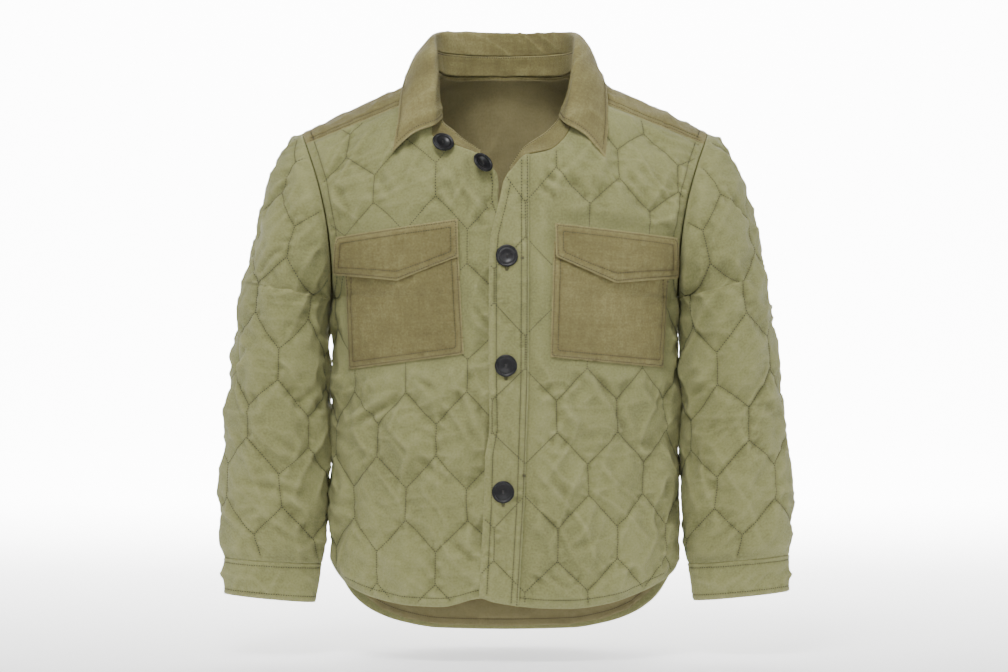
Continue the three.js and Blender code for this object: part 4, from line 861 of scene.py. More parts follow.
class Cloth:
    """A piece of cloth on a surface. height() gives how far its face lies off the surface."""

    def __init__(self, surface, outline, facing=1, wall=QUILT_WALL, off=None, quilt=None, flat=(),
                 topstitch=(), creases=(), crumple=1.0, gather=1.6, puff=5.0, edge=1.1, seed=1):
        self.surface, self.outline, self.facing, self.wall = surface, outline, facing, wall
        self.off = off or (lambda s, t: np.zeros(len(s)))
        self.quilt, self.flat, self.topstitch, self.creases = quilt, flat, list(topstitch), creases
        self.crumple, self.gather, self.puff, self.edge, self.seed = crumple, gather, puff, edge, seed
        self.lines = []
        if quilt is not None:
            for line in quilt_lines(quilt, outline.min(0), outline.max(0)):
                near = np.abs(line[:, None] - outline[None, ::4]).max(-1).min() < 40
                if near or inside(line[:1], outline)[0]:
                    self.lines.append(line)

    def height(self, s, t):
        points = np.stack([s, t], -1)
        to_edge, along_edge = to_line(points, self.outline)
        rise = np.zeros(len(s))
        near = np.zeros(len(s))
        calm = np.ones(len(s))
        for patch in self.flat:
            calm *= smooth(np.where(inside(points, patch), 0, to_line(points, patch)[0]), 2, 22)
        if self.lines:
            to_stitch, along = to_quilting(points, self.quilt)
            centre = cell_centres(s, t, self.quilt)
            full = 1 + 0.35 * ripple(centre[:, 0] * 3.1, centre[:, 1] * 2.7, 31, self.seed + 8)
            swell = 1 - (1 - np.clip(to_stitch / 27, 0, 1)) ** 1.9
            swell *= 1 + 0.4 * ripple(s, t, 21, self.seed + 9) + 0.22 * ripple(s, t, 11, self.seed + 10)
            rise += self.puff * full * swell * smooth(to_edge, 0, 15) * calm
            pucker = ripple(along, to_stitch * 0.3, 6.5, self.seed + 11)
            rise += 1.3 * pucker * np.exp(-((to_stitch - 4.5) / 4.5) ** 2) * calm * smooth(to_edge, 0, 6)
            # nearness to a stitch line, which the material turns into painted shade along the line
            near = np.exp(-((to_stitch / 1.0) ** 2)) * calm
        gather = (ripple(along_edge, to_edge * 0.22, 8.5, self.seed + 15)
                  + 0.5 * ripple(along_edge, to_edge * 0.3, 15, self.seed + 16))
        rise += self.gather * gather * smooth(to_edge, 1, 7) * np.exp(-to_edge / 16) * calm
        for line in self.topstitch:
            to_stitch, along = to_line(points, line, False)
            rise -= 0.75 * np.exp(-((to_stitch / 1.5) ** 2))
            pucker = ripple(along, to_stitch * 0.2, 5.5, self.seed + 13)
            rise += 0.6 * pucker * np.exp(-((to_stitch - 3) / 4) ** 2)
            near = np.maximum(near, 0.8 * np.exp(-((to_stitch / 1.0) ** 2)))
        if self.crumple:
            loose = self.crumple * smooth(to_edge, 0, 26) * calm
            for high, angle, long, wide, number in FOLDS:
                rise += loose * high * (folds(s, t, angle, long, wide, self.seed + number) - 0.3)
            rise += loose * 1.6 * ripple(s, t, 36, self.seed + 30)
            rise += loose * 0.7 * ripple(s, t, 13, self.seed + 31)
        for line, deep, wide in self.creases:
            far, along = to_line(points + 2.5 * wander(points), line, False)
            size = np.linalg.norm(line[1] - line[0])
            fade = smooth(along, 0, 0.3 * size) * (1 - smooth(along, 0.7 * size, size))
            fade = fade * np.minimum(smooth(to_edge, 0, 10), calm)
            banks = 0.5 * np.exp(-(((far - 1.7 * wide) / wide) ** 2))
            rise += deep * fade * (np.exp(-((far / wide) ** 2)) - banks)
        round_off = self.edge * np.clip(1 - to_edge / ROUND, 0, 1) ** 2
        self.near, self.to_edge, self.rise = near, to_edge, rise
        return self.off(s, t) + rise - round_off

    def lift(self, s, t, extra=0.0):
        """Points on the cloth's face, and the directions that stand on it."""
        stand = normals(self.surface, s, t, self.facing)
        return self.surface(s, t) + stand * (self.height(s, t) + extra)[:, None], stand


# the material turns this into painted shade where a point lies low and painted light where it lies high
def hollows(flat, heights, triangles):
    """How much lower each point lies than those beside it, as a mean slope, smoothed twice."""
    edges = np.concatenate([np.stack([triangles, np.roll(triangles, -1, 1)], -1).reshape(-1, 2),
                            np.stack([np.roll(triangles, -1, 1), triangles], -1).reshape(-1, 2)])
    a, b = edges.T
    n = len(flat)
    count = np.maximum(np.bincount(a, minlength=n), 1)
    slope = (heights[b] - heights[a]) / np.maximum(np.linalg.norm(flat[b] - flat[a], axis=1), 0.3)
    value = np.bincount(a, slope, minlength=n) / count
    for _ in range(2):
        value = (value + np.bincount(a, value[b], minlength=n) / count) / 2
    return value


def dress(made, flat, node_name, slot, material, **values):
    mesh = made.data
    corner = np.zeros(len(mesh.loops), int)
    mesh.loops.foreach_get("vertex_index", corner)
    mesh.uv_layers.new(name="cloth").data.foreach_set("uv", (flat[corner] * MM).ravel())
    for name, value in values.items():
        kept = mesh.attributes.new(name, "FLOAT", "POINT")
        kept.data.foreach_set("value", np.asarray(value, np.float32))
    mesh.materials.append(material)
    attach(made, "root")
    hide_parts(node_name)


def piece(name, cloth, slot, material, step=2.5, back_step=9.0):
    """Makes the closed shell of a piece of cloth: outer face, rim and inner face."""
    sewn = cloth.lines + [walk(line, STITCH) for line in cloth.topstitch]
    face, triangles = fill(cloth.outline, step, sewn)
    rear, rear_triangles = fill(cloth.outline, back_step, rings=(3.4,))
    outer, _ = cloth.lift(*face.T)
    near, to_edge = cloth.near, cloth.to_edge
    hollow = hollows(face, cloth.rise, triangles)
    s, t = rear.T
    stand = normals(cloth.surface, s, t, cloth.facing)
    rise = 0.5 * np.clip(1 - to_line(rear, cloth.outline)[0] / ROUND, 0, 1) ** 2
    inner = cloth.surface(s, t) + stand * (cloth.off(s, t) - cloth.wall + rise)[:, None]
    n, border = len(outer), len(cloth.outline)
    i = np.arange(border)
    j = (i + 1) % border
    rim = np.concatenate([np.stack([i, n + i, n + j], -1), np.stack([i, n + j, j], -1)])
    faces = np.concatenate([triangles, rear_triangles[:, ::-1] + n, rim])
    if cloth.facing < 0:
        faces = faces[:, ::-1]
    made = new_object(f"{name}_cloth", np.concatenate([outer, inner]), faces)
    plain = np.zeros(len(rear))
    dress(made, np.concatenate([face, rear]), name, slot, material,
          near_stitch=np.concatenate([near, plain]), hollow=np.concatenate([hollow, plain]),
          near_edge=np.concatenate([np.exp(-to_edge / 2.2), plain + 0.1]))
    print(f"{name}_cloth: {len(faces)} triangles, {abs(area_of(cloth.outline)) / 100:.0f} square cm")


# %% Stitches
def threads(name, start, end, up, slot, material, thick=0.55):
    """Stitches as little spindles with four sides, in one mesh. The two ends of each lie on the
    cloth, and its two middle rings stand a little out of it."""
    side = unit(np.cross(end - start, up))
    rings = []
    for part in (0.25, 0.75):
        centre = mix(start, end, part)
        rings += [centre + thick * side, centre + thick * up, centre - thick * side, centre - thick * up]
    points = np.stack([start, *rings, end], 1).reshape(-1, 3)
    faces = []
    for k in range(4):
        a, b = 1 + k, 1 + (k + 1) % 4
        faces += [(0, b, a), (a, b, b + 4), (a, b + 4, a + 4), (9, a + 4, b + 4)]
    every = (np.arange(len(start)) * 10)[:, None, None] + np.array(faces)
    made = new_object(name, points, every.reshape(-1, 3))
    made.data.materials.append(material)
    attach(made, "root")
    print(f"{name}: {len(start)} stitches")
    return made


def stitching(name, cloth, lines, slot, material, margin=5.0, clear=()):
    """The stitches of some lines of a piece, at least margin from its edge and off some patches."""
    middles, runs = [], []
    for line in lines:
        line = walk(line, STITCH)
        middle, run = (line[:-1] + line[1:]) / 2, line[1:] - line[:-1]
        middles.append(middle)
        runs.append(unit(run))
    middle, run = np.concatenate(middles), np.concatenate(runs)
    keep = inside(middle, cloth.outline) & (to_line(middle, cloth.outline)[0] > margin)
    for patch in clear:
        keep &= ~inside(middle, patch)
    middle, run = middle[keep], run[keep]
    where = np.concatenate([middle - run * THREAD_LONG / 2, middle + run * THREAD_LONG / 2])
    ends, stand = cloth.lift(*where.T, THREAD_OFF)
    threads(name, *np.split(ends, 2), np.split(stand, 2)[0], slot, material)


# %% [markdown]
# ## Cloth finishes
# The shell is a thin tight cotton with a soft sheen. Its colour is painted darker in the puckers as
# painted shade, paler on the crowns as painted light, and darker along each stitch line as painted
# shade. The collar, yoke and pockets are a heavier twill with a fine diagonal grain and paler edges,
# partly rubbed wear and partly a painted highlight on the rounded rims. Both are the same idea with
# other numbers, so they share one node group, which turns the cloth's own lengths and its attributes
# into a colour, a roughness and a height.

# %% A group of nodes for woven cloth
def blended(tree, share, a, b, at):
    made = node(tree, "ShaderNodeMix", at, {0: share, 6: a, 7: b}, data_type="RGBA")
    return made.outputs[2]


# the cloth's own colour, a paler one for worn places, painted light and painted highlights, and a dark one
# for painted shade
GIVEN = {
    "Cloth": (0.3, 0.3, 0.2, 1), "Worn and lit": (0.5, 0.5, 0.4, 1), "Deep": (0.1, 0.1, 0.05, 1),
    "Grain": 1400.0, "Diagonal": 0.0, "Patches": 0.3, "Streaks": 1.0, "Edge wear and highlight": 0.3,
}


def woven_group():
    """The group that all the cloths share, with the values of GIVEN as its inputs."""
    group = bpy.data.node_groups.new("woven cloth", "ShaderNodeTree")
    color, number = "NodeSocketColor", "NodeSocketFloat"
    for name, value in GIVEN.items():
        kind = color if isinstance(value, tuple) else number
        group.interface.new_socket(name, in_out="INPUT", socket_type=kind).default_value = value
    for name, kind in (("Colour", color), ("Roughness", number), ("Height", number)):
        group.interface.new_socket(name, in_out="OUTPUT", socket_type=kind)
    given = node(group, "NodeGroupInput", (-1500, 0)).outputs
    lengths = node(group, "ShaderNodeUVMap", (-1500, -400), uv_map="cloth").outputs[0]
    stitch, edge, hollow = (
        node(group, "ShaderNodeAttribute", (-1500, at), attribute_name=name).outputs["Fac"]
        for name, at in (("near_stitch", -600), ("near_edge", -800), ("hollow", -1000))
    )

    def noise(scale, detail, at, stretch=None):
        place = lengths
        if stretch:
            place = node(group, "ShaderNodeMapping", (at[0] - 200, at[1]),
                         {"Vector": lengths, "Scale": stretch}).outputs[0]
        made = node(group, "ShaderNodeTexNoise", at, noise_dimensions="3D", inputs={
            "Scale": scale, "Detail": detail, "Roughness": 0.55, "Vector": place,
        })
        return made.outputs["Fac"]

    def yarns(angle, distortion, at):
        """Bars across the cloth at an angle, as many to the metre as the grain says."""
        turned = node(group, "ShaderNodeMapping", (-1100, at),
                      {"Vector": lengths, "Rotation": (0, 0, math.radians(angle))})
        return node(group, "ShaderNodeTexWave", (-900, at), {
            "Distortion": distortion, "Scale": given["Grain"], "Vector": turned.outputs[0],
        }).outputs["Fac"]

    def times(a, b, *at):
        return math_node(group, "MULTIPLY", a, b, at)

    def plus(a, b, *at):
        return math_node(group, "ADD", a, b, at)

    def less(a, b, *at):
        return math_node(group, "SUBTRACT", a, b, at)

    # the colour: broad patches, streaks along both yarns and specks of dye, with painted shade in the hollows
    # and painted light on the crowns
    broad = noise(9, 4, (-1100, 300))
    warp = noise(60, 3, (-1100, 100), (3.2, 0.5, 1))
    weft = noise(60, 3, (-1100, -100), (0.5, 3.0, 1))
    speck = noise(420, 2, (-1100, -300))
    streak = times(plus(warp, weft, -850, 0), given["Streaks"], -750, 0)
    tone = plus(times(broad, 2.0, -850, 300), streak, -650, 200)
    tone = plus(tone, times(speck, 1.8, -850, -300), -450, 200)
    tone = less(tone, plus(given["Streaks"], 1.9, -450, 50), -300, 200)
    # painted shade in the hollows and painted light on the crowns
    tone = less(times(tone, given["Patches"], -150, 200), times(hollow, 2.0, -300, 50), -50, 200)
    up = node(group, "ShaderNodeClamp", (0, 300), {0: tone}).outputs[0]
    low = node(group, "ShaderNodeClamp", (150, 100), {0: times(tone, -1.0, 0, 100)}).outputs[0]
    # paler edges: partly rubbed wear and partly a painted highlight on the rounded rims
    edge_rub_and_highlight = times(times(edge, given["Edge wear and highlight"], 300, -200), times(speck, 2.0, 300, -350), 450, -200)
    colour = blended(group, up, given["Cloth"], given["Worn and lit"], (300, 300))
    colour = blended(group, low, colour, given["Deep"], (450, 300))
    colour = blended(group, edge_rub_and_highlight, colour, given["Worn and lit"], (600, 300))
    # painted shade along each stitch line
    colour = blended(group, times(stitch, 0.14, 600, 0), colour, given["Deep"], (760, 300))
    # the yarns: two sets of bars, or one set of slanting ones for twill
    plain = times(yarns(0, 1.2, -600), yarns(90, 1.2, -870), -650, -700)
    yarn = node(group, "ShaderNodeMix", (-450, -800), data_type="FLOAT",
                inputs={0: given["Diagonal"], 2: plain, 3: yarns(63, 0.8, -1200)}).outputs[0]
    fuzz = noise(900, 3, (-650, -1000))
    soft = noise(170, 3, (-650, -1150))
    height = plus(times(yarn, 0.35, -250, -800), times(fuzz, 0.35, -250, -950), -50, -850)
    height = plus(height, times(soft, 0.9, -50, -1000), 150, -850)
    rough = plus(times(broad, 0.12, 300, -500), 0.68, 450, -500)
    rough = plus(rough, times(fuzz, 0.12, 450, -650), 600, -500)
    node(group, "NodeGroupOutput", (1100, 0), {"Colour": colour, "Roughness": rough, "Height": height})
    return group


WOVEN = woven_group()


def linear(red, green, blue):
    """A colour from screen values of 0 to 255, made linear."""
    value = np.array([red, green, blue]) / 255
    return (*np.where(value <= 0.04045, value / 12.92, ((value + 0.055) / 1.055) ** 2.4).tolist(), 1)


def cloth_material(name, given, bump, sheen):
    """A material of the woven group with these values in the order of GIVEN, and its relief."""
    material, tree, shader = principled(name)
    woven = node(tree, "ShaderNodeGroup", (-600, 0), node_tree=WOVEN)
    for key, value in zip(GIVEN, given, strict=True):
        woven.inputs[key].default_value = value
    bumped = node(tree, "ShaderNodeBump", (-250, -200), {
        "Strength": bump, "Distance": 0.0006, "Height": woven.outputs["Height"],
    })
    for key, value in (("Normal", bumped.outputs[0]), ("Base Color", woven.outputs["Colour"]),
                       ("Roughness", woven.outputs["Roughness"])):
        tree.links.new(value, shader.inputs[key])
    for key, value in (("Sheen Weight", sheen), ("Sheen Roughness", 0.45), ("Specular IOR Level", 0.3)):
        shader.inputs[key].default_value = value
    return material


QUILT = cloth_material("sage shell cloth", (
    linear(121, 121, 78), linear(148, 148, 104), linear(62, 62, 34), 1500.0, 0.0, 0.5, 0.25, 0.3,
), 0.8, 0.04)
TWILL = cloth_material("brown olive twill", (
    linear(104, 97, 59), linear(138, 130, 88), linear(66, 58, 30), 700.0, 1.0, 0.6, 0.9, 0.8,
), 0.8, 0.03)
LINING = cloth_material("dark olive lining", (
    linear(118, 110, 75), linear(138, 130, 95), linear(84, 76, 47), 1100.0, 1.0, 0.4, 0.4, 0.2,
), 0.5, 0.03)


def speckled(name, scale, dark, light):
    """A material whose colour runs from dark to light with a fine noise, and what it is made of."""
    material, tree, shader = principled(name)
    place = node(tree, "ShaderNodeTexCoord", (-900, 0))
    grain = node(tree, "ShaderNodeTexNoise", (-700, 0), {"Scale": scale, "Vector": place.outputs["Object"]})
    ramp = node(tree, "ShaderNodeValToRGB", (-450, 0), {0: grain.outputs["Fac"]})
    for stop, colour in zip(ramp.color_ramp.elements, (dark, light)):
        stop.color = colour
    tree.links.new(ramp.outputs[0], shader.inputs["Base Color"])
    return material, tree, shader, grain.outputs["Fac"]


def thread_material(name, colour):
    dark = tuple(0.6 * c for c in colour[:3]) + (1,)
    material, _, shader, _ = speckled(name, 1500, dark, colour)
    shader.inputs["Roughness"].default_value = 0.7
    return material


QUILT_THREAD = thread_material("quilting thread", linear(40, 39, 22))
TWILL_THREAD = thread_material("twill thread", linear(52, 45, 24))
FINISHES = {"quilt": (QUILT, QUILT_THREAD), "twill": (TWILL, TWILL_THREAD), "lining": (LINING, TWILL_THREAD)}
print("materials:", len(bpy.data.materials))

# %% [markdown]
# ## Pockets, placket, fronts
# What is sewn on top lies on the front by its own thickness, and the quilting under it is pressed
# flat. Under the placket the wearer's right front passes behind the left one, so it sinks there.
# Every edge that is sewn down has two rows of stitches, a near one and a far one.

# %% Lengths that lie over each other
# how far the band and a pocket lie off the front, how much higher a flap is over its pocket, and
# how far below its seam that rise begins and ends
PLACKET_LIFT, BAG_LIFT, FLAP_RISE, FLAP_BEND = 0.85, 0.9, 2.7, (1, 9)
NEAR_ROW, FAR_ROW = 2.2, 8.5
POCKET_ROWS, YOKE_ROWS, TWILL_MARGIN = (2.2, 8.2), (2.4, 8.5), 1.2
SIDES = (("left", 1), ("right", -1))
# how deep the right front sinks, how far before the band's edge that begins and ends, and between
# which heights below the neck
TUCK = {"deep": 4.2, "from": 26, "to": 7, "top": 108, "full": 128}
placket_edge = through(*np.transpose([(z, x) for x, z in PLACKET_LEFT[::-1]]))


def tuck(s, t):
    """How far the right front sinks under the placket: from nothing beside it to 4.2 mm under it."""
    p = body(s, t)
    edge = placket_edge(np.clip(p[:, 2], PLACKET_LEFT[-1][1], PLACKET_LEFT[0][1]))
    beside = smooth(p[:, 0], edge - TUCK["from"], edge - TUCK["to"])
    return -TUCK["deep"] * beside * smooth(-p[:, 2], TUCK["top"], TUCK["full"])


def inset(outline, far):
    """A closed line inside an outline, this far from it."""
    moved = moved_in(outline, far)
    moved = moved[to_line(moved, outline)[0] > 0.93 * far]
    return np.concatenate([moved, moved[:1]])


def disc(s, t, radius):
    turn = np.linspace(0, 2 * np.pi, 17)[:-1]
    return np.stack([s + radius * np.cos(turn), t + radius * np.sin(turn)], -1)


# x and z of each button, and how far its back lies off the body's form
BUTTONS = {
    "button_1": (-69, -87, 0), "button_2": (-25, -111, 0), "button_3": (2, -213, 3.45),
    "button_4": (1, -334, 3.45), "button_5": (-2, -474, 3.45),
}

# %% Creases laid one by one
# both ends as x and z, the height, negative for a valley, and half the width
FRONT_CREASES = {
    "right": [
        ((-186, -414), (-112, -370), -2.8, 5), ((-178, -400), (-117, -361), 1.6, 6),
        ((-48, -350), (-26, -422), 2.6, 5), ((-20, -372), (-18, -450), -2.2, 4),
        ((-111, -341), (-72, -363), -1.5, 4), ((-39, -261), (-14, -295), -1.6, 4),
        ((-180, -303), (-160, -318), -1.4, 4), ((-96, -430), (-60, -470), -1.5, 5),
        ((-150, -470), (-118, -500), 1.5, 6), ((-60, -520), (-30, -556), -1.6, 5),
        ((-168, -520), (-140, -556), -1.5, 5), ((-100, -540), (-74, -580), 1.4, 5),
        ((-150, -110), (-118, -150), -1.4, 5), ((-112, -116), (-70, -140), 1.3, 5),
        ((-190, -130), (-172, -172), -1.6, 5), ((-140, -395), (-100, -440), -1.2, 4),
        ((-59, -111), (-39, -150), -2.0, 4), ((-30, -123), (-14, -167), -1.8, 4),
        ((-76, -130), (-52, -167), 1.6, 5),
    ],
    "left": [
        ((91, -332), (122, -381), -2.4, 5), ((122, -381), (136, -412), -2.2, 5),
        ((136, -426), (171, -415), -1.8, 5), ((46, -458), (73, -479), -1.8, 5),
        ((70, -541), (101, -530), -1.8, 5), ((88, -585), (108, -558), -1.6, 5),
        ((29, -360), (42, -368), -1.6, 4), ((21, -474), (36, -489), -1.8, 4),
        ((60, -372), (84, -408), 1.6, 6), ((150, -352), (178, -384), -1.8, 5),
        ((150, -480), (184, -520), 1.6, 6), ((40, -560), (66, -584), -1.4, 4),
        ((30, -250), (48, -290), -1.6, 5), ((60, -118), (104, -150), -1.5, 5),
        ((130, -112), (172, -160), -1.6, 5), ((34, -150), (48, -190), 1.4, 5),
        ((110, -440), (128, -480), 1.4, 5), ((32, -126), (61, -156), -2.0, 4),
        ((44, -108), (78, -134), 1.6, 5), ((92, -120), (118, -166), -1.5, 5),
    ],
}
BACK_CREASES = [
    ((-150, -220), (-92, -262), -2.4, 6), ((-60, -190), (-22, -250), -1.8, 5),
    ((40, -210), (92, -240), 2.0, 6), ((120, -260), (176, -238), -2.4, 6),
    ((-170, -330), (-120, -372), -2.2, 6), ((-40, -350), (20, -384), 1.8, 6),
    ((84, -360), (140, -410), -2.2, 6), ((-120, -450), (-62, -500), -2.0, 6),
    ((20, -470), (64, -520), -1.8, 5), ((130, -500), (176, -540), 2.0, 6),
    ((-80, -590), (-40, -560), -1.6, 5), ((60, -600), (110, -570), -1.6, 5),
]
# both ends as s and t, on a sleeve
SLEEVE_CREASES = {
    "right": [
        ((-142, 432), (-40, 420), -2.4, 6), ((-150, 300), (-108, 340), -2.0, 6),
        ((-90, 150), (-56, 196), -1.8, 5), ((-130, 210), (-92, 236), 1.8, 6),
        ((-66, 262), (-24, 300), -2.0, 6), ((-128, 388), (-86, 366), -1.8, 5),
        ((-60, 486), (-20, 462), 1.6, 5), ((-118, 492), (-84, 470), -1.8, 5),
        ((-70, 70), (-38, 116), -1.4, 5), ((30, 240), (84, 280), -2.2, 6),
        ((60, 330), (110, 372), -2.0, 6), ((20, 420), (76, 452), -1.8, 6),
    ],
    "left": [
        ((-44, 160), (-30, 220), -2.0, 5), ((-150, 316), (-110, 286), -2.2, 6),
        ((-96, 196), (-62, 232), -1.8, 5), ((-140, 232), (-104, 208), 1.8, 6),
        ((-70, 330), (-28, 356), -2.2, 6), ((-134, 408), (-96, 434), -2.0, 6),
        ((-62, 452), (-22, 430), 1.8, 6), ((-116, 486), (-78, 462), -1.6, 5),
        ((-76, 84), (-46, 128), -1.4, 5), ((40, 220), (92, 258), -2.2, 6), ((30, 320), (82, 300), 1.8, 6),
        ((50, 430), (104, 404), -2.0, 6),
    ],
}


def laid(creases, find=None):
    """Creases as lines on the cloth with their height and width. find turns a seen place into one
    on the cloth, and without it the places are lengths on the cloth already."""
    lines = [find(*np.transpose([a, b])) if find else np.array([a, b], float) for a, b, _, _ in creases]
    return [(line, deep, wide) for line, (_, _, deep, wide) in zip(lines, creases)]


# %% The fullness beside the side seams
BULGE, BULGE_WIDE = 4.0, 24


def side_bulge(s, t):
    """How far the body swells beside its side seams, where the arms press it: up to 4 mm."""
    armpit, low = np.where(t < 0, -FRONT_ARMPIT, BACK_ARMPIT), np.where(t < 0, -FRONT_SIDE, BACK_SIDE)
    level = np.abs(t)
    beside = np.exp(-((np.abs(s) - body_rows(t)[2][:, -1]) / BULGE_WIDE) ** 2)
    return BULGE * beside * smooth(level - armpit, 20, 90) * smooth(low - level, 10, 90)


# %% A piece with its stitches
def sew(name, cloth, slot, lines, margin=5.0, clear=(), **steps):
    """Makes a piece and the stitches of some lines on it, with its slot's cloth and thread."""
    material, thread = FINISHES[slot]
    piece(name, cloth, slot, material, **steps)
    stitching(f"{name}_stitches", cloth, lines, slot, thread, margin, clear)


# %% The fronts
BUTTON_PATCH, ARMPIT_PATCH, HEM_LINE, SLEEVE_LINE = 12.4, 12, 10, 10
for name, side in SIDES:
    outline, band = OUTLINES[f"front_{name}"], OUTLINES["placket"]
    hem = [(x, z + HEM_LINE) for x, z in HEM[name]]
    lines = [down(side, FRONT_YOKE - 4, FRONT_ARMPIT + 6, SLEEVE_LINE), seen(hem[1:-1], front, True)]
    sewn_on = [OUTLINES[f"bag_{name}"], OUTLINES[f"flap_{name}"]]
    under = sewn_on + [disc(side * half_length(FRONT_ARMPIT)[0], FRONT_ARMPIT, ARMPIT_PATCH)]
    if side > 0:
        under.append(band)
        sewn_on.append(band)
    else:
        under += [disc(*front(x, z)[0], BUTTON_PATCH) for x, z, _ in list(BUTTONS.values())[:2]]
        lines.append(seen([(x - 7, z) for x, z in FRONT_EDGE["right"][1:]], front))
    cloth = Cloth(body, outline, quilt=PATTERNS[f"front_{name}"], flat=under, topstitch=lines,
                  off=side_bulge if side > 0 else (lambda s, t: tuck(s, t) + side_bulge(s, t)),
                  seed=100 if side > 0 else 300, crumple=0.72, creases=laid(FRONT_CREASES[name], front))
    sew(f"front_{name}", cloth, "quilt", cloth.lines + lines, clear=sewn_on)

# %% The placket
edge_line = seen([(x + FAR_ROW, z) for x, z in PLACKET_LEFT[1:-1]] + [(-20, -588)], front)
joins = [seen([(x - far, z) for x, z in PLACKET_RIGHT], front) for far in (NEAR_ROW, FAR_ROW)]
placket = Cloth(body, OUTLINES["placket"], off=lambda s, t: np.full(len(s), PLACKET_LIFT + QUILT_WALL),
                quilt=PATTERNS["front_left"], topstitch=[edge_line, *joins], puff=0.8, crumple=0.4,
                gather=0.6, seed=500)
sew("placket", placket, "quilt", placket.lines + placket.topstitch, margin=1.6, step=2.2)

# %% Pockets and flaps
for name, side in SIDES:
    bag, flap = OUTLINES[f"bag_{name}"], OUTLINES[f"flap_{name}"]
    lines = [inset(bag, far) for far in POCKET_ROWS]
    cloth = Cloth(body, bag, wall=BAG_WALL, off=lambda s, t: np.full(len(s), BAG_LIFT + BAG_WALL),
                  topstitch=lines, crumple=0.3, gather=0.25, edge=0.8, seed=600 + side)
    sew(f"pocket_{name}", cloth, "twill", lines, margin=TWILL_MARGIN, clear=[flap], step=3)
    corners = front(*np.transpose(POCKETS[name]["flap"][:2]))

    def over_bag(s, t, corners=corners):
        """A flap's height: on the front at its seam, and over the bag a few millimetres below."""
        share = np.clip((s - corners[0, 0]) / (corners[1, 0] - corners[0, 0]), 0, 1)
        seam = mix(corners[0, 1], corners[1, 1], share)
        return BAG_LIFT + FLAP_RISE * smooth(seam - t, *FLAP_BEND) + TWILL_WALL

    lines = [inset(flap, far) for far in POCKET_ROWS]
    cloth = Cloth(body, flap, wall=TWILL_WALL, off=over_bag, topstitch=lines, crumple=0.2, gather=0.3,
                  edge=0.9, seed=610 + side)
    sew(f"flap_{name}", cloth, "twill", lines, margin=TWILL_MARGIN, step=2.6)

# %% Yoke and back
YOKE_IN, SHORT = 88, 4
front_wide, back_wide = half_length(FRONT_YOKE)[0] - SHORT, half_length(BACK_YOKE)[0] - SHORT
lines = [
    *(across(FRONT_YOKE + far, YOKE_IN, front_wide) for far in YOKE_ROWS),
    *(across(FRONT_YOKE + far, -front_wide, -YOKE_IN) for far in YOKE_ROWS),
    *(across(BACK_YOKE - far, -back_wide, back_wide) for far in YOKE_ROWS),
    *(down(side, FRONT_YOKE + 3, BACK_YOKE - 3, SLEEVE_LINE) for side in (1, -1)),
]
cloth = Cloth(body, OUTLINES["yoke"], wall=TWILL_WALL, topstitch=lines, crumple=0.6, gather=0.6, seed=700)
sew("yoke", cloth, "twill", lines, margin=TWILL_MARGIN, step=3)

hem = [(x, z + HEM_LINE) for x, z in HEM["back"][1:-1]]
lines = [*(down(side, BACK_YOKE + 4, BACK_ARMPIT - 6, SLEEVE_LINE) for side in (1, -1)),
         seen(hem, back, True)]
armpits = [disc(side * half_length(BACK_ARMPIT)[0], BACK_ARMPIT, ARMPIT_PATCH) for side in (-1, 1)]
cloth = Cloth(body, OUTLINES["back"], off=side_bulge, quilt=PATTERNS["back"], flat=armpits,
              topstitch=lines, creases=laid(BACK_CREASES, back), crumple=0.75, seed=800)
sew("back", cloth, "quilt", cloth.lines + lines, step=2.8)

# %% [markdown]
# ## Lining, sleeves and cuffs
# A plain lining shows in the neck's back and inside the longer tail. A sleeve is one piece rolled
# into a tube, so the two long edges of its outline meet at the underarm seam. The cuff is a short
# tube of the same shell with two rows of stitches.

# %% The lining
LINING_TOP, LINING_IN = 32, 14


def under_back(s, t):
    """How far the lining lies inside the back: a little more to the sides and under the yoke."""
    far = mix(0.7, 2.6, smooth(np.abs(s), 100, 200)) + 1 - smooth(t, BACK_YOKE - 10, BACK_YOKE + 20)
    return -QUILT_WALL - far - LINING_WALL


neck = [neckline(name, side, 0, 3) for name, side in SIDES]
lining_neck = neck[0][-1, 0] + 12
hem = [(188, SIDE_BOTTOM - 6), *((0.97 * x, z + 4) for x, z in HEM["back"][-2:0:-1]), (-188, SIDE_BOTTOM - 6)]
outline = chain(
    neck[1][::-1], neck[0], across(LINING_TOP, lining_neck, half_length(LINING_TOP)[0] - LINING_IN),
    down(1, LINING_TOP, BACK_ARMPIT, LINING_IN), down(1, BACK_ARMPIT, BACK_SIDE, LINING_IN),
    seen(hem, back), down(-1, BACK_SIDE, BACK_ARMPIT, LINING_IN),
    down(-1, BACK_ARMPIT, LINING_TOP, LINING_IN),
    across(LINING_TOP, LINING_IN - half_length(LINING_TOP)[0], -lining_neck),
)
# seen from the wearer's side the lining's face points inwards, so the surface is turned round
tail_line = seen([(0.97 * x, z + 12) for x, z in HEM["back"][1:-1]], back, True)
lining = Cloth(body, outline, facing=-1, wall=LINING_WALL, off=lambda s, t: -under_back(s, t),
               topstitch=[tail_line], crumple=0.4, gather=0.3, edge=0.3, seed=900)
sew("lining", lining, "lining", [tail_line], margin=TWILL_MARGIN, step=4, back_step=12)

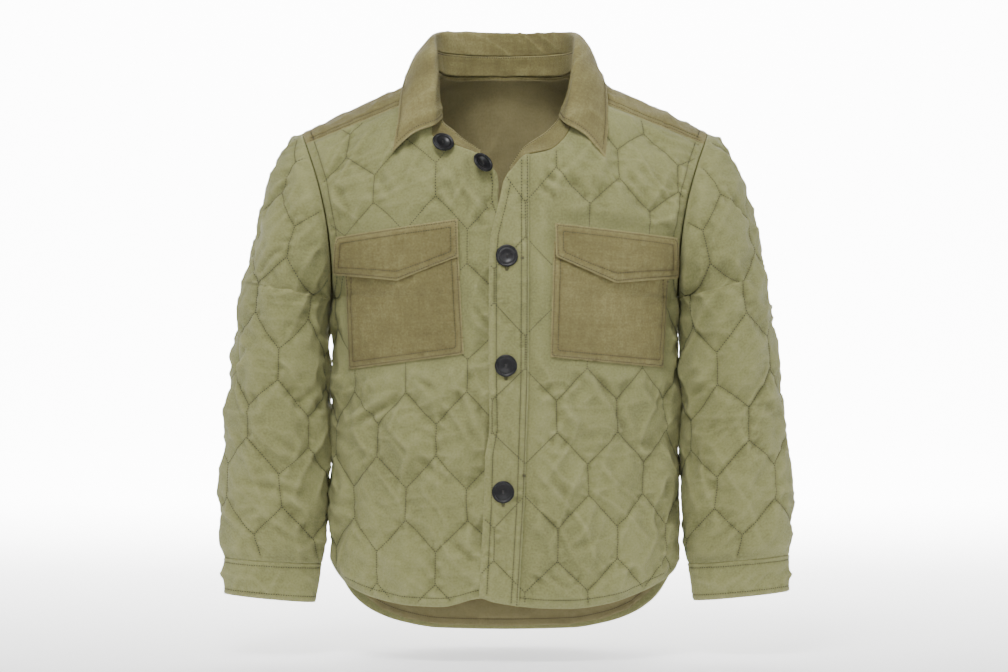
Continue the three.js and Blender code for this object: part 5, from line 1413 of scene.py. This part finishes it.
# %% Sleeves and cuffs
for name, side in SIDES:
    sleeve = SLEEVES[name]

    def ends(face, low, high, sleeve=sleeve):
        t = levels(low, high)
        return np.stack([face * sleeve.half(face, t), t], -1)

    def around(t, inwards=0.0, sleeve=sleeve):
        return across(t, sleeve.half(1, t)[0] - inwards, -sleeve.half(-1, t)[0] + inwards)

    end = sleeve.cuff - HALF_GAP
    outline = chain(ends(1, 0.01, sleeve.armpit), ends(1, sleeve.armpit, end), around(end),
                    ends(-1, end, sleeve.armpit), ends(-1, sleeve.armpit, 0.01))
    armpits = [disc(face * sleeve.half(face, sleeve.armpit)[0], sleeve.armpit, ARMPIT_PATCH)
               for face in (-1, 1)]
    cloth = Cloth(sleeve, outline, facing=-side, quilt=PATTERNS[f"sleeve_{name}"], flat=armpits,
                  seed=1000 + 50 * side, crumple=0.75, edge=0.6, creases=laid(SLEEVE_CREASES[name]))
    sew(f"sleeve_{name}", cloth, "quilt", cloth.lines, step=2.7)
    OUTLINES[f"sleeve_{name}"] = outline

    start = sleeve.cuff + HALF_GAP
    outline = chain(ends(1, start, sleeve.end), around(sleeve.end), ends(-1, sleeve.end, start),
                    around(start)[::-1])
    lines = [around(start + 5.5, 3), around(sleeve.end - 6.5, 3)]
    cloth = Cloth(sleeve, outline, facing=-side, topstitch=lines, gather=1.0, seed=1200 + side, edge=1.2)
    sew(f"cuff_{name}", cloth, "quilt", lines, margin=TWILL_MARGIN, step=2.4)
    OUTLINES[f"cuff_{name}"] = outline

# %% [markdown]
# ## The collar
# A shirt collar has a stand that rises from the neck seam, and a leaf that is sewn to the stand's
# top, goes up to the roll line, turns over and falls to its pointed edge. Both are strips: a table
# gives the top of the stand, the roll and the leaf's edge at stations round the neck, and smooth
# curves run through them both ways.

# %% Collar stations
# the stand's top and the roll as x, y, z, and the leaf's edge on the cloth
BEHIND = [
    ((0, 77, 27.7), (0, 80.5, 54), back(0, -16)), ((33, 70.5, 27.5), (34, 74, 53.5), back(42, -17)),
    ((60, 53, 27.5), (62.5, 56, 52), top(76, 64)), ((76, 28, 27.5), (79, 29, 49), top(97, 38)),
]
COLLAR = {
    "left": [
        *BEHIND, ((80.5, 2, 27), (83, 2, 42), top(107, 3)), ((78, -34, 1), (81.5, -40, 9), front(113, -24)),
        ((72, -46, -30), (76, -62, -26), front(115, -58)), ((61, -60, -54), (69, -81, -64), front(111, -105)),
        ((45, -76, -72),), ((33, -80, -80),), ((20, -84, -90),), ((4, -91, -112),),
    ],
    "right": [
        *BEHIND, ((80.5, 2, 27), (83, 2, 42), top(108.5, 3)), ((78, -34, 1), (82, -40, 9), front(116, -30)),
        ((75, -46, -30), (82, -62, -26), front(119, -60)), ((71, -62, -56), (81, -82, -66), front(125, -98)),
        ((57, -72, -70),), ((44, -78, -81),), ((27, -85, -92),),
    ],
}
LEAF_STATION, LEAF_LIFT = 7, 5.5


def collar_curve(part, place):
    """A smooth curve through one part of the stations, from the right front end to the left."""
    right = [place(row[part], -1) for row in COLLAR["right"][::-1] if len(row) > part]
    left = [place(row[part], 1) for row in COLLAR["left"][1:] if len(row) > part]
    points = np.array(right + left)
    numbers = np.arange(len(points)) - len(right) + 1
    curves = [through(numbers, column) for column in points.T]
    return lambda u: np.stack([curve(u) for curve in curves], -1)


def off_body(flat, side):
    s, t = np.array([side * flat[0, 0]]), flat[:, 1]
    return (body(s, t) + LEAF_LIFT * normals(body, s, t, 1))[0]


mirrored = lambda point, side: (side * point[0], point[1], point[2])
stand_top, roll_line = collar_curve(0, mirrored), collar_curve(1, mirrored)
leaf_edge = collar_curve(2, off_body)


def neck_seam(u):
    """The neck seam at station numbers, negative on the right."""
    s, t = np.zeros(len(u)), np.zeros(len(u))
    for name, side in SIDES:
        here = u >= 0 if side > 0 else u < 0
        numbers = np.arange(len(NECK[name]))
        s[here], t[here] = (through(numbers, column)(np.abs(u[here])) for column in NECK[name].T)
        s[here] *= side
    return s, t


def strip_normals(rows):
    """Unit vectors across a grid of points, from its differences both ways."""
    return unit(np.cross(np.gradient(rows, axis=0), np.gradient(rows, axis=1)))


def grid_line(points, directions, far, from_end=True):
    """The points and directions on a grid at a length along each of its rows, measured from the
    rows' end or start: straight blends between the two nearest columns."""
    along = lengths_along(points, 1)
    want = along[:, -1] - far if from_end else np.full(len(points), far)
    i = np.clip((along <= want[:, None]).sum(1) - 1, 0, points.shape[1] - 2)
    rows = np.arange(len(points))
    u = ((want - along[rows, i]) / np.maximum(along[rows, i + 1] - along[rows, i], 1e-6))[:, None]
    return (mix(grid[rows, i], grid[rows, i + 1], u) for grid in (points, directions))


def sew_strip(name, points, directions, far, ends):
    """Stitches on a strip's face along its free edge, and along its ends where they are free."""
    runs = [np.concatenate(list(grid_line(points, directions, far)), -1)]
    if ends:
        for face, out in ((points, directions), (points[::-1], directions[::-1])):
            side = grid_line(face.transpose(1, 0, 2), out.transpose(1, 0, 2), far, False)
            runs.append(np.concatenate(list(side), -1)[1:-6])
        runs[0] = runs[0][3:-3]
    start, end, up = [], [], []
    for run in runs:
        along = lengths_along(run[:, :3])
        at = np.arange(2, along[-1] - 2, STITCH)
        first, last = (np.stack([np.interp(where, along, column) for column in run.T], -1)
                       for where in (at, at + THREAD_LONG))
        start.append(first[:, :3] + 0.3 * first[:, 3:])
        end.append(last[:, :3] + 0.3 * last[:, 3:])
        up.append(first[:, 3:])
    return threads(name, *(np.concatenate(part) for part in (start, end, up)), "twill", TWILL_THREAD)


def strip(name, rows, dent, far, ends):
    """A closed wall on a grid: the given face, moved by dent along its normal, the same face set
    off by the wall, and a rounded rim between them. Both faces are stitched."""
    n, m = rows.shape[:2]
    stand = strip_normals(rows)
    along, over = lengths_along(rows, 0), lengths_along(rows, 1)
    edge_far = np.minimum.reduce([along, along[-1] - along, over[:, -1:] - over])
    rounding = 0.75 * np.clip(1 - edge_far / 2.2, 0, 1) ** 2
    hollow = dent(along, over, edge_far)
    face = rows + stand * (rounding + hollow)[..., None]
    rear = rows + stand * (TWILL_WALL - rounding + hollow)[..., None]
    points = np.concatenate([face.reshape(-1, 3), rear.reshape(-1, 3)])
    quads = grid_faces(n, m)
    border = np.concatenate([
        np.arange(m), np.arange(1, n) * m + m - 1, (n - 1) * m + np.arange(m - 2, -1, -1),
        np.arange(n - 2, 0, -1) * m,
    ])
    after = np.roll(border, -1)
    rim = np.stack([border, border + n * m, after + n * m, after], -1)
    made = new_object(f"{name}_cloth", points, np.concatenate([quads, quads[:, ::-1] + n * m, rim]))
    flat = np.stack([along.mean(1, keepdims=True) + 0 * along, over], -1).reshape(-1, 2)
    # painted shade along the stitch line 6 mm in from the edge
    line = np.exp(-(((edge_far - 6) / 1.6) ** 2)).reshape(-1)
    # the strip's dents, kept as painted shade and painted light in its colour
    deep = 0.12 * hollow.reshape(-1)
    dress(made, np.tile(flat, (2, 1)), name, "twill", TWILL, near_stitch=np.tile(line, 2),
          near_edge=np.tile(np.exp(-edge_far / 1.4).reshape(-1), 2), hollow=np.concatenate([deep, -deep]))
    thread = [sew_strip(f"{name}_cloth_{side}_1", grid, out, far, ends)
              for side, grid, out in (("inner", face, -stand), ("outer", rear, stand))]
    print(f"{name}_cloth: {len(made.data.polygons)} faces")
    size = [float(over[:, -1].max()) * MM, float(along[-1].max()) * MM]
    corners = np.cross(np.diff(rows[:, :-1], axis=0), np.diff(rows[:-1], axis=1))
    area = float(np.linalg.norm(corners, axis=-1).sum())
    return {"flat": size, "area": min(area * MM * MM, size[0] * size[1]), "with_pieces": thread}


# %% The stand
EACH = 14
count = (NECK_END["right"] + NECK_END["left"]) * EACH + 1
stations = np.linspace(-NECK_END["right"], NECK_END["left"], count)
s, t = neck_seam(stations)
foot, head = body(s, t), stand_top(stations)
foot = foot + SEAM_GAP * unit(head - foot)
share = np.linspace(0, 1, 14)[None, :, None]
stand_rows = foot[:, None] + (head - foot)[:, None] * share


def stand_dent(along, over, edge_far):
    """Slow waves along the stand, and short puckers that its seams pull in."""
    free = smooth(edge_far, 0, 8)
    puckers = 0.4 * ripple(along, 0.3 * over, 6, 42) * (1 - 0.5 * free)
    return 1.1 * free * ripple(along, over, 15, 41) + puckers


collar_stand = strip("collar_stand", stand_rows, stand_dent, 2.4, False)

# %% The leaf
on_leaf = np.abs(stations) <= LEAF_STATION + 1e-6
u = stations[on_leaf]
leaf_foot = head[on_leaf] + SEAM_GAP * unit(head[on_leaf] - foot[on_leaf])
roll, edge = roll_line(u), leaf_edge(u)
outward = unit((edge - leaf_foot) * (1, 1, 0))
lifted = np.array([0, 0, 3.0])
stops = np.stack([leaf_foot, mix(leaf_foot, roll, 0.6) - 0.8 * outward, roll,
                  mix(roll, edge, 0.4) + 3.5 * outward + lifted, edge], 1)


def catmull(stops, count):
    """A centripetal Catmull-Rom curve through five points of every row, as blends of blends of
    the points, with the first and last span carried on by mirrored points."""
    ends = [2 * stops[:, :1] - stops[:, 1:2], stops, 2 * stops[:, -1:] - stops[:, -2:-1]]
    p = np.concatenate(ends, 1)
    gap = np.maximum(np.linalg.norm(np.diff(p, axis=1), axis=-1), 1e-4) ** 0.5
    out = []
    for k in range(4):
        t0 = np.zeros(len(p))
        t1, t2, t3 = t0 + gap[:, k], t0 + gap[:, k] + gap[:, k + 1], t0 + gap[:, k:k + 3].sum(1)
        for share in 1 - (1 - np.linspace(0, 1, 2 * count)) ** 1.7 if k == 3 else np.arange(count) / count:
            t = mix(t1, t2, share)[:, None]
            w = lambda a, b, ta, tb: ((tb[:, None] - t) * a + (t - ta[:, None]) * b) / (tb - ta)[:, None]
            a1, a2, a3 = (w(p[:, k + i], p[:, k + i + 1], *((t0, t1, t2, t3)[i:i + 2])) for i in range(3))
            out.append(w(w(a1, a2, t0, t2), w(a2, a3, t1, t3), t1, t2))
    return np.stack(out, 1)


leaf_rows = catmull(stops, 10)


def leaf_dent(along, over, edge_far):
    """Soft folds on the leaf, and puckers between its edge and its stitches."""
    free = smooth(edge_far, 0, 14)
    fold = folds(along, over, 78, 46, 24, 44) + 0.6 * ripple(along, over, 27, 43)
    return 1.5 * free * fold + 0.35 * ripple(along, 0.3 * over, 6.5, 45) * (1 - 0.6 * free)


collar_leaf = strip("collar_leaf", leaf_rows, leaf_dent, 6.0, True)

# %% [markdown]
# ## Buttons
# Five black buttons, each turned like a small dish: a rounded rim, a groove and a sunk middle
# that holds the thread. The profile is carried round the button's axis, and the axis stands on
# the cloth.

# %% Buttons
BUTTON_PROFILE = np.array([
    (0.0, 0.0), (9.5, 0.0), (11.6, 0.3), (12.3, 1.2), (12.4, 2.2), (11.9, 3.2), (11.0, 3.6), (10.1, 3.4),
    (9.6, 2.8), (9.2, 2.6), (8.6, 2.9), (7.8, 3.0), (6.6, 2.7), (5.2, 2.1), (3.4, 1.7), (0.0, 1.6),
])


def turned(profile, around=56):
    """A profile of radius and height carried round an axis: radius times cosine and sine."""
    turn = np.linspace(0, 2 * np.pi, around, endpoint=False)
    radius, height = profile[1:-1].T
    ring = np.stack([np.outer(radius, np.cos(turn)), np.outer(radius, np.sin(turn)),
                     np.repeat(height[:, None], around, 1)], -1).reshape(-1, 3)
    points = np.concatenate([ring, [(0, 0, profile[0, 1]), (0, 0, profile[-1, 1])]])
    rows, n = len(profile) - 2, len(ring)
    faces = grid_faces(rows, around, True).tolist()
    last = (rows - 1) * around
    for k in range(around):
        j = (k + 1) % around
        faces += [(n, j, k), (n + 1, last + k, last + j)]
    return points, faces


def button_frame(x, z, high, swing, rise):
    """Where a button lies and its three directions: across, up and out of the cloth. One that
    hangs on its thread swings: its face turns by tan to the side and upwards."""
    s, t = front(x, z).T
    out = normals(body, s, t, 1)[0]
    centre = body(s, t)[0] + high * out
    out = unit(out + np.array([swing, 0, rise]))
    across = unit(np.cross((0, 0, 1.0), out))
    return centre, across, np.cross(out, across), out


BLACK, tree, shader, grain = speckled("black button", 260, linear(5, 5, 6), linear(13, 13, 15))
rough = math_node(tree, "ADD", math_node(tree, "MULTIPLY", grain, 0.2, (-450, -150)), 0.26, (-250, -150))
tree.links.new(rough, shader.inputs["Roughness"])
shader.inputs["Specular IOR Level"].default_value = 0.3

BUTTON_THREAD = thread_material("button thread", linear(34, 33, 30))
# the two that hang on their threads: how they turn to the side and upwards, and how far they lie off
HANGING = {"button_1": (0.4, 0.3, 4.2), "button_2": (0.85, 0.5, 7.0)}
for name, (x, z, high) in BUTTONS.items():
    swing, rise, off = HANGING.get(name, (0, 0, 0.5))
    centre, *axes = button_frame(x, z, high + off, swing, rise)
    points, faces = turned(BUTTON_PROFILE)
    made = new_object(name + "_turned", centre + points @ np.stack(axes), faces)
    made.data.materials.append(BLACK)
    loops = np.array([(-1.6, y, 1.9) for y in (-1.5, -0.5, 0.5, 1.5)])
    start, end = (centre + (loops * (sign, 1, 1)) @ np.stack(axes) for sign in (1, -1))
    threads(name + "_thread", start, end, np.tile(axes[2], (4, 1)), "button", BUTTON_THREAD, 0.45)
    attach(made, "root")
    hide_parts(name)
print("buttons:", len(BUTTONS))

# %% [markdown]
# ## Buttonholes and bar tacks
# An upright buttonhole runs down from behind each button of the band: two columns of short
# stitches beside a slit, closed by a bar. Bars of thread also hold the band where it is pulled.

# %% Buttonholes
HOLE_LONG, HOLE_PITCH = 14.5, 0.8


def bar(x, z, wide, tall):
    """Close stitches of this width, one above the other, from a place on the front downwards."""
    s, t = front(x, z)[0]
    level = t - np.arange(0, tall, HOLE_PITCH)
    return [np.stack([np.full(len(level), s + reach), level], -1) for reach in (-wide / 2, wide / 2)]


bars = [bar(19, -214, 5.0, 2.5), bar(21, -455, 5.0, 2.5)]
for x, z, _ in list(BUTTONS.values())[2:]:
    bars += [bar(x - 1.2, z, 1.9, HOLE_LONG), bar(x + 1.2, z, 1.9, HOLE_LONG),
             bar(x, z - HOLE_LONG, 4.4, 1.8)]
start, end = (np.concatenate([pair[k] for pair in bars]) for k in (0, 1))
first, up = placket.lift(*start.T, 0.2)
last, _ = placket.lift(*end.T, 0.2)
threads("buttonholes", first, last, up, "quilt", thread_material("bar thread", linear(84, 82, 50)), 0.4)

# %% [markdown]
# ## Every sheet's flat size
# The size of each piece of cloth's cut is printed: the width and length of the rectangle
# that it comes out of, and the area of the cut itself.

# %% Flat sizes
def declare(name, held, rests_on, *more, cut=None):
    """Prints the size of a piece of cloth's cut, and finds its stitches. Its cut is its outline in cloth
    lengths, unless its sizes are given."""
    if cut is None:
        outline = OUTLINES[name.replace("pocket", "bag")]
        cut = {"flat": (np.ptp(outline, axis=0) * MM).tolist(),
               "area": float(abs(area_of(outline)) * MM * MM),
               "with_pieces": [bpy.data.objects[piece] for piece in (f"{name}_stitches", *more)]}
    wide, long = cut["flat"]
    print(f"{name}: {wide * 1000:.0f} x {long * 1000:.0f} mm, {cut['area'] * 1e4:.0f} square cm")


OUTLINES["lining"] = lining.outline
for name, _ in SIDES:
    under = f"front_{name}_cloth"
    declare(f"front_{name}", "hung", ["yoke_cloth"])
    declare(f"pocket_{name}", "laid", [under])
    declare(f"flap_{name}", "hung", [f"pocket_{name}_cloth", under])
    declare(f"sleeve_{name}", "hung", ["yoke_cloth"])
    declare(f"cuff_{name}", "hung", [f"sleeve_{name}_cloth"])
declare("placket", "laid", ["front_left_cloth"], "buttonholes")
declare("yoke", "draped", [])
declare("back", "hung", ["yoke_cloth"])
declare("lining", "hung", ["yoke_cloth"])
declare("collar_stand", "gathered", ["yoke_cloth"], cut=collar_stand)
declare("collar_leaf", "folded", ["collar_stand_cloth"], cut=collar_leaf)
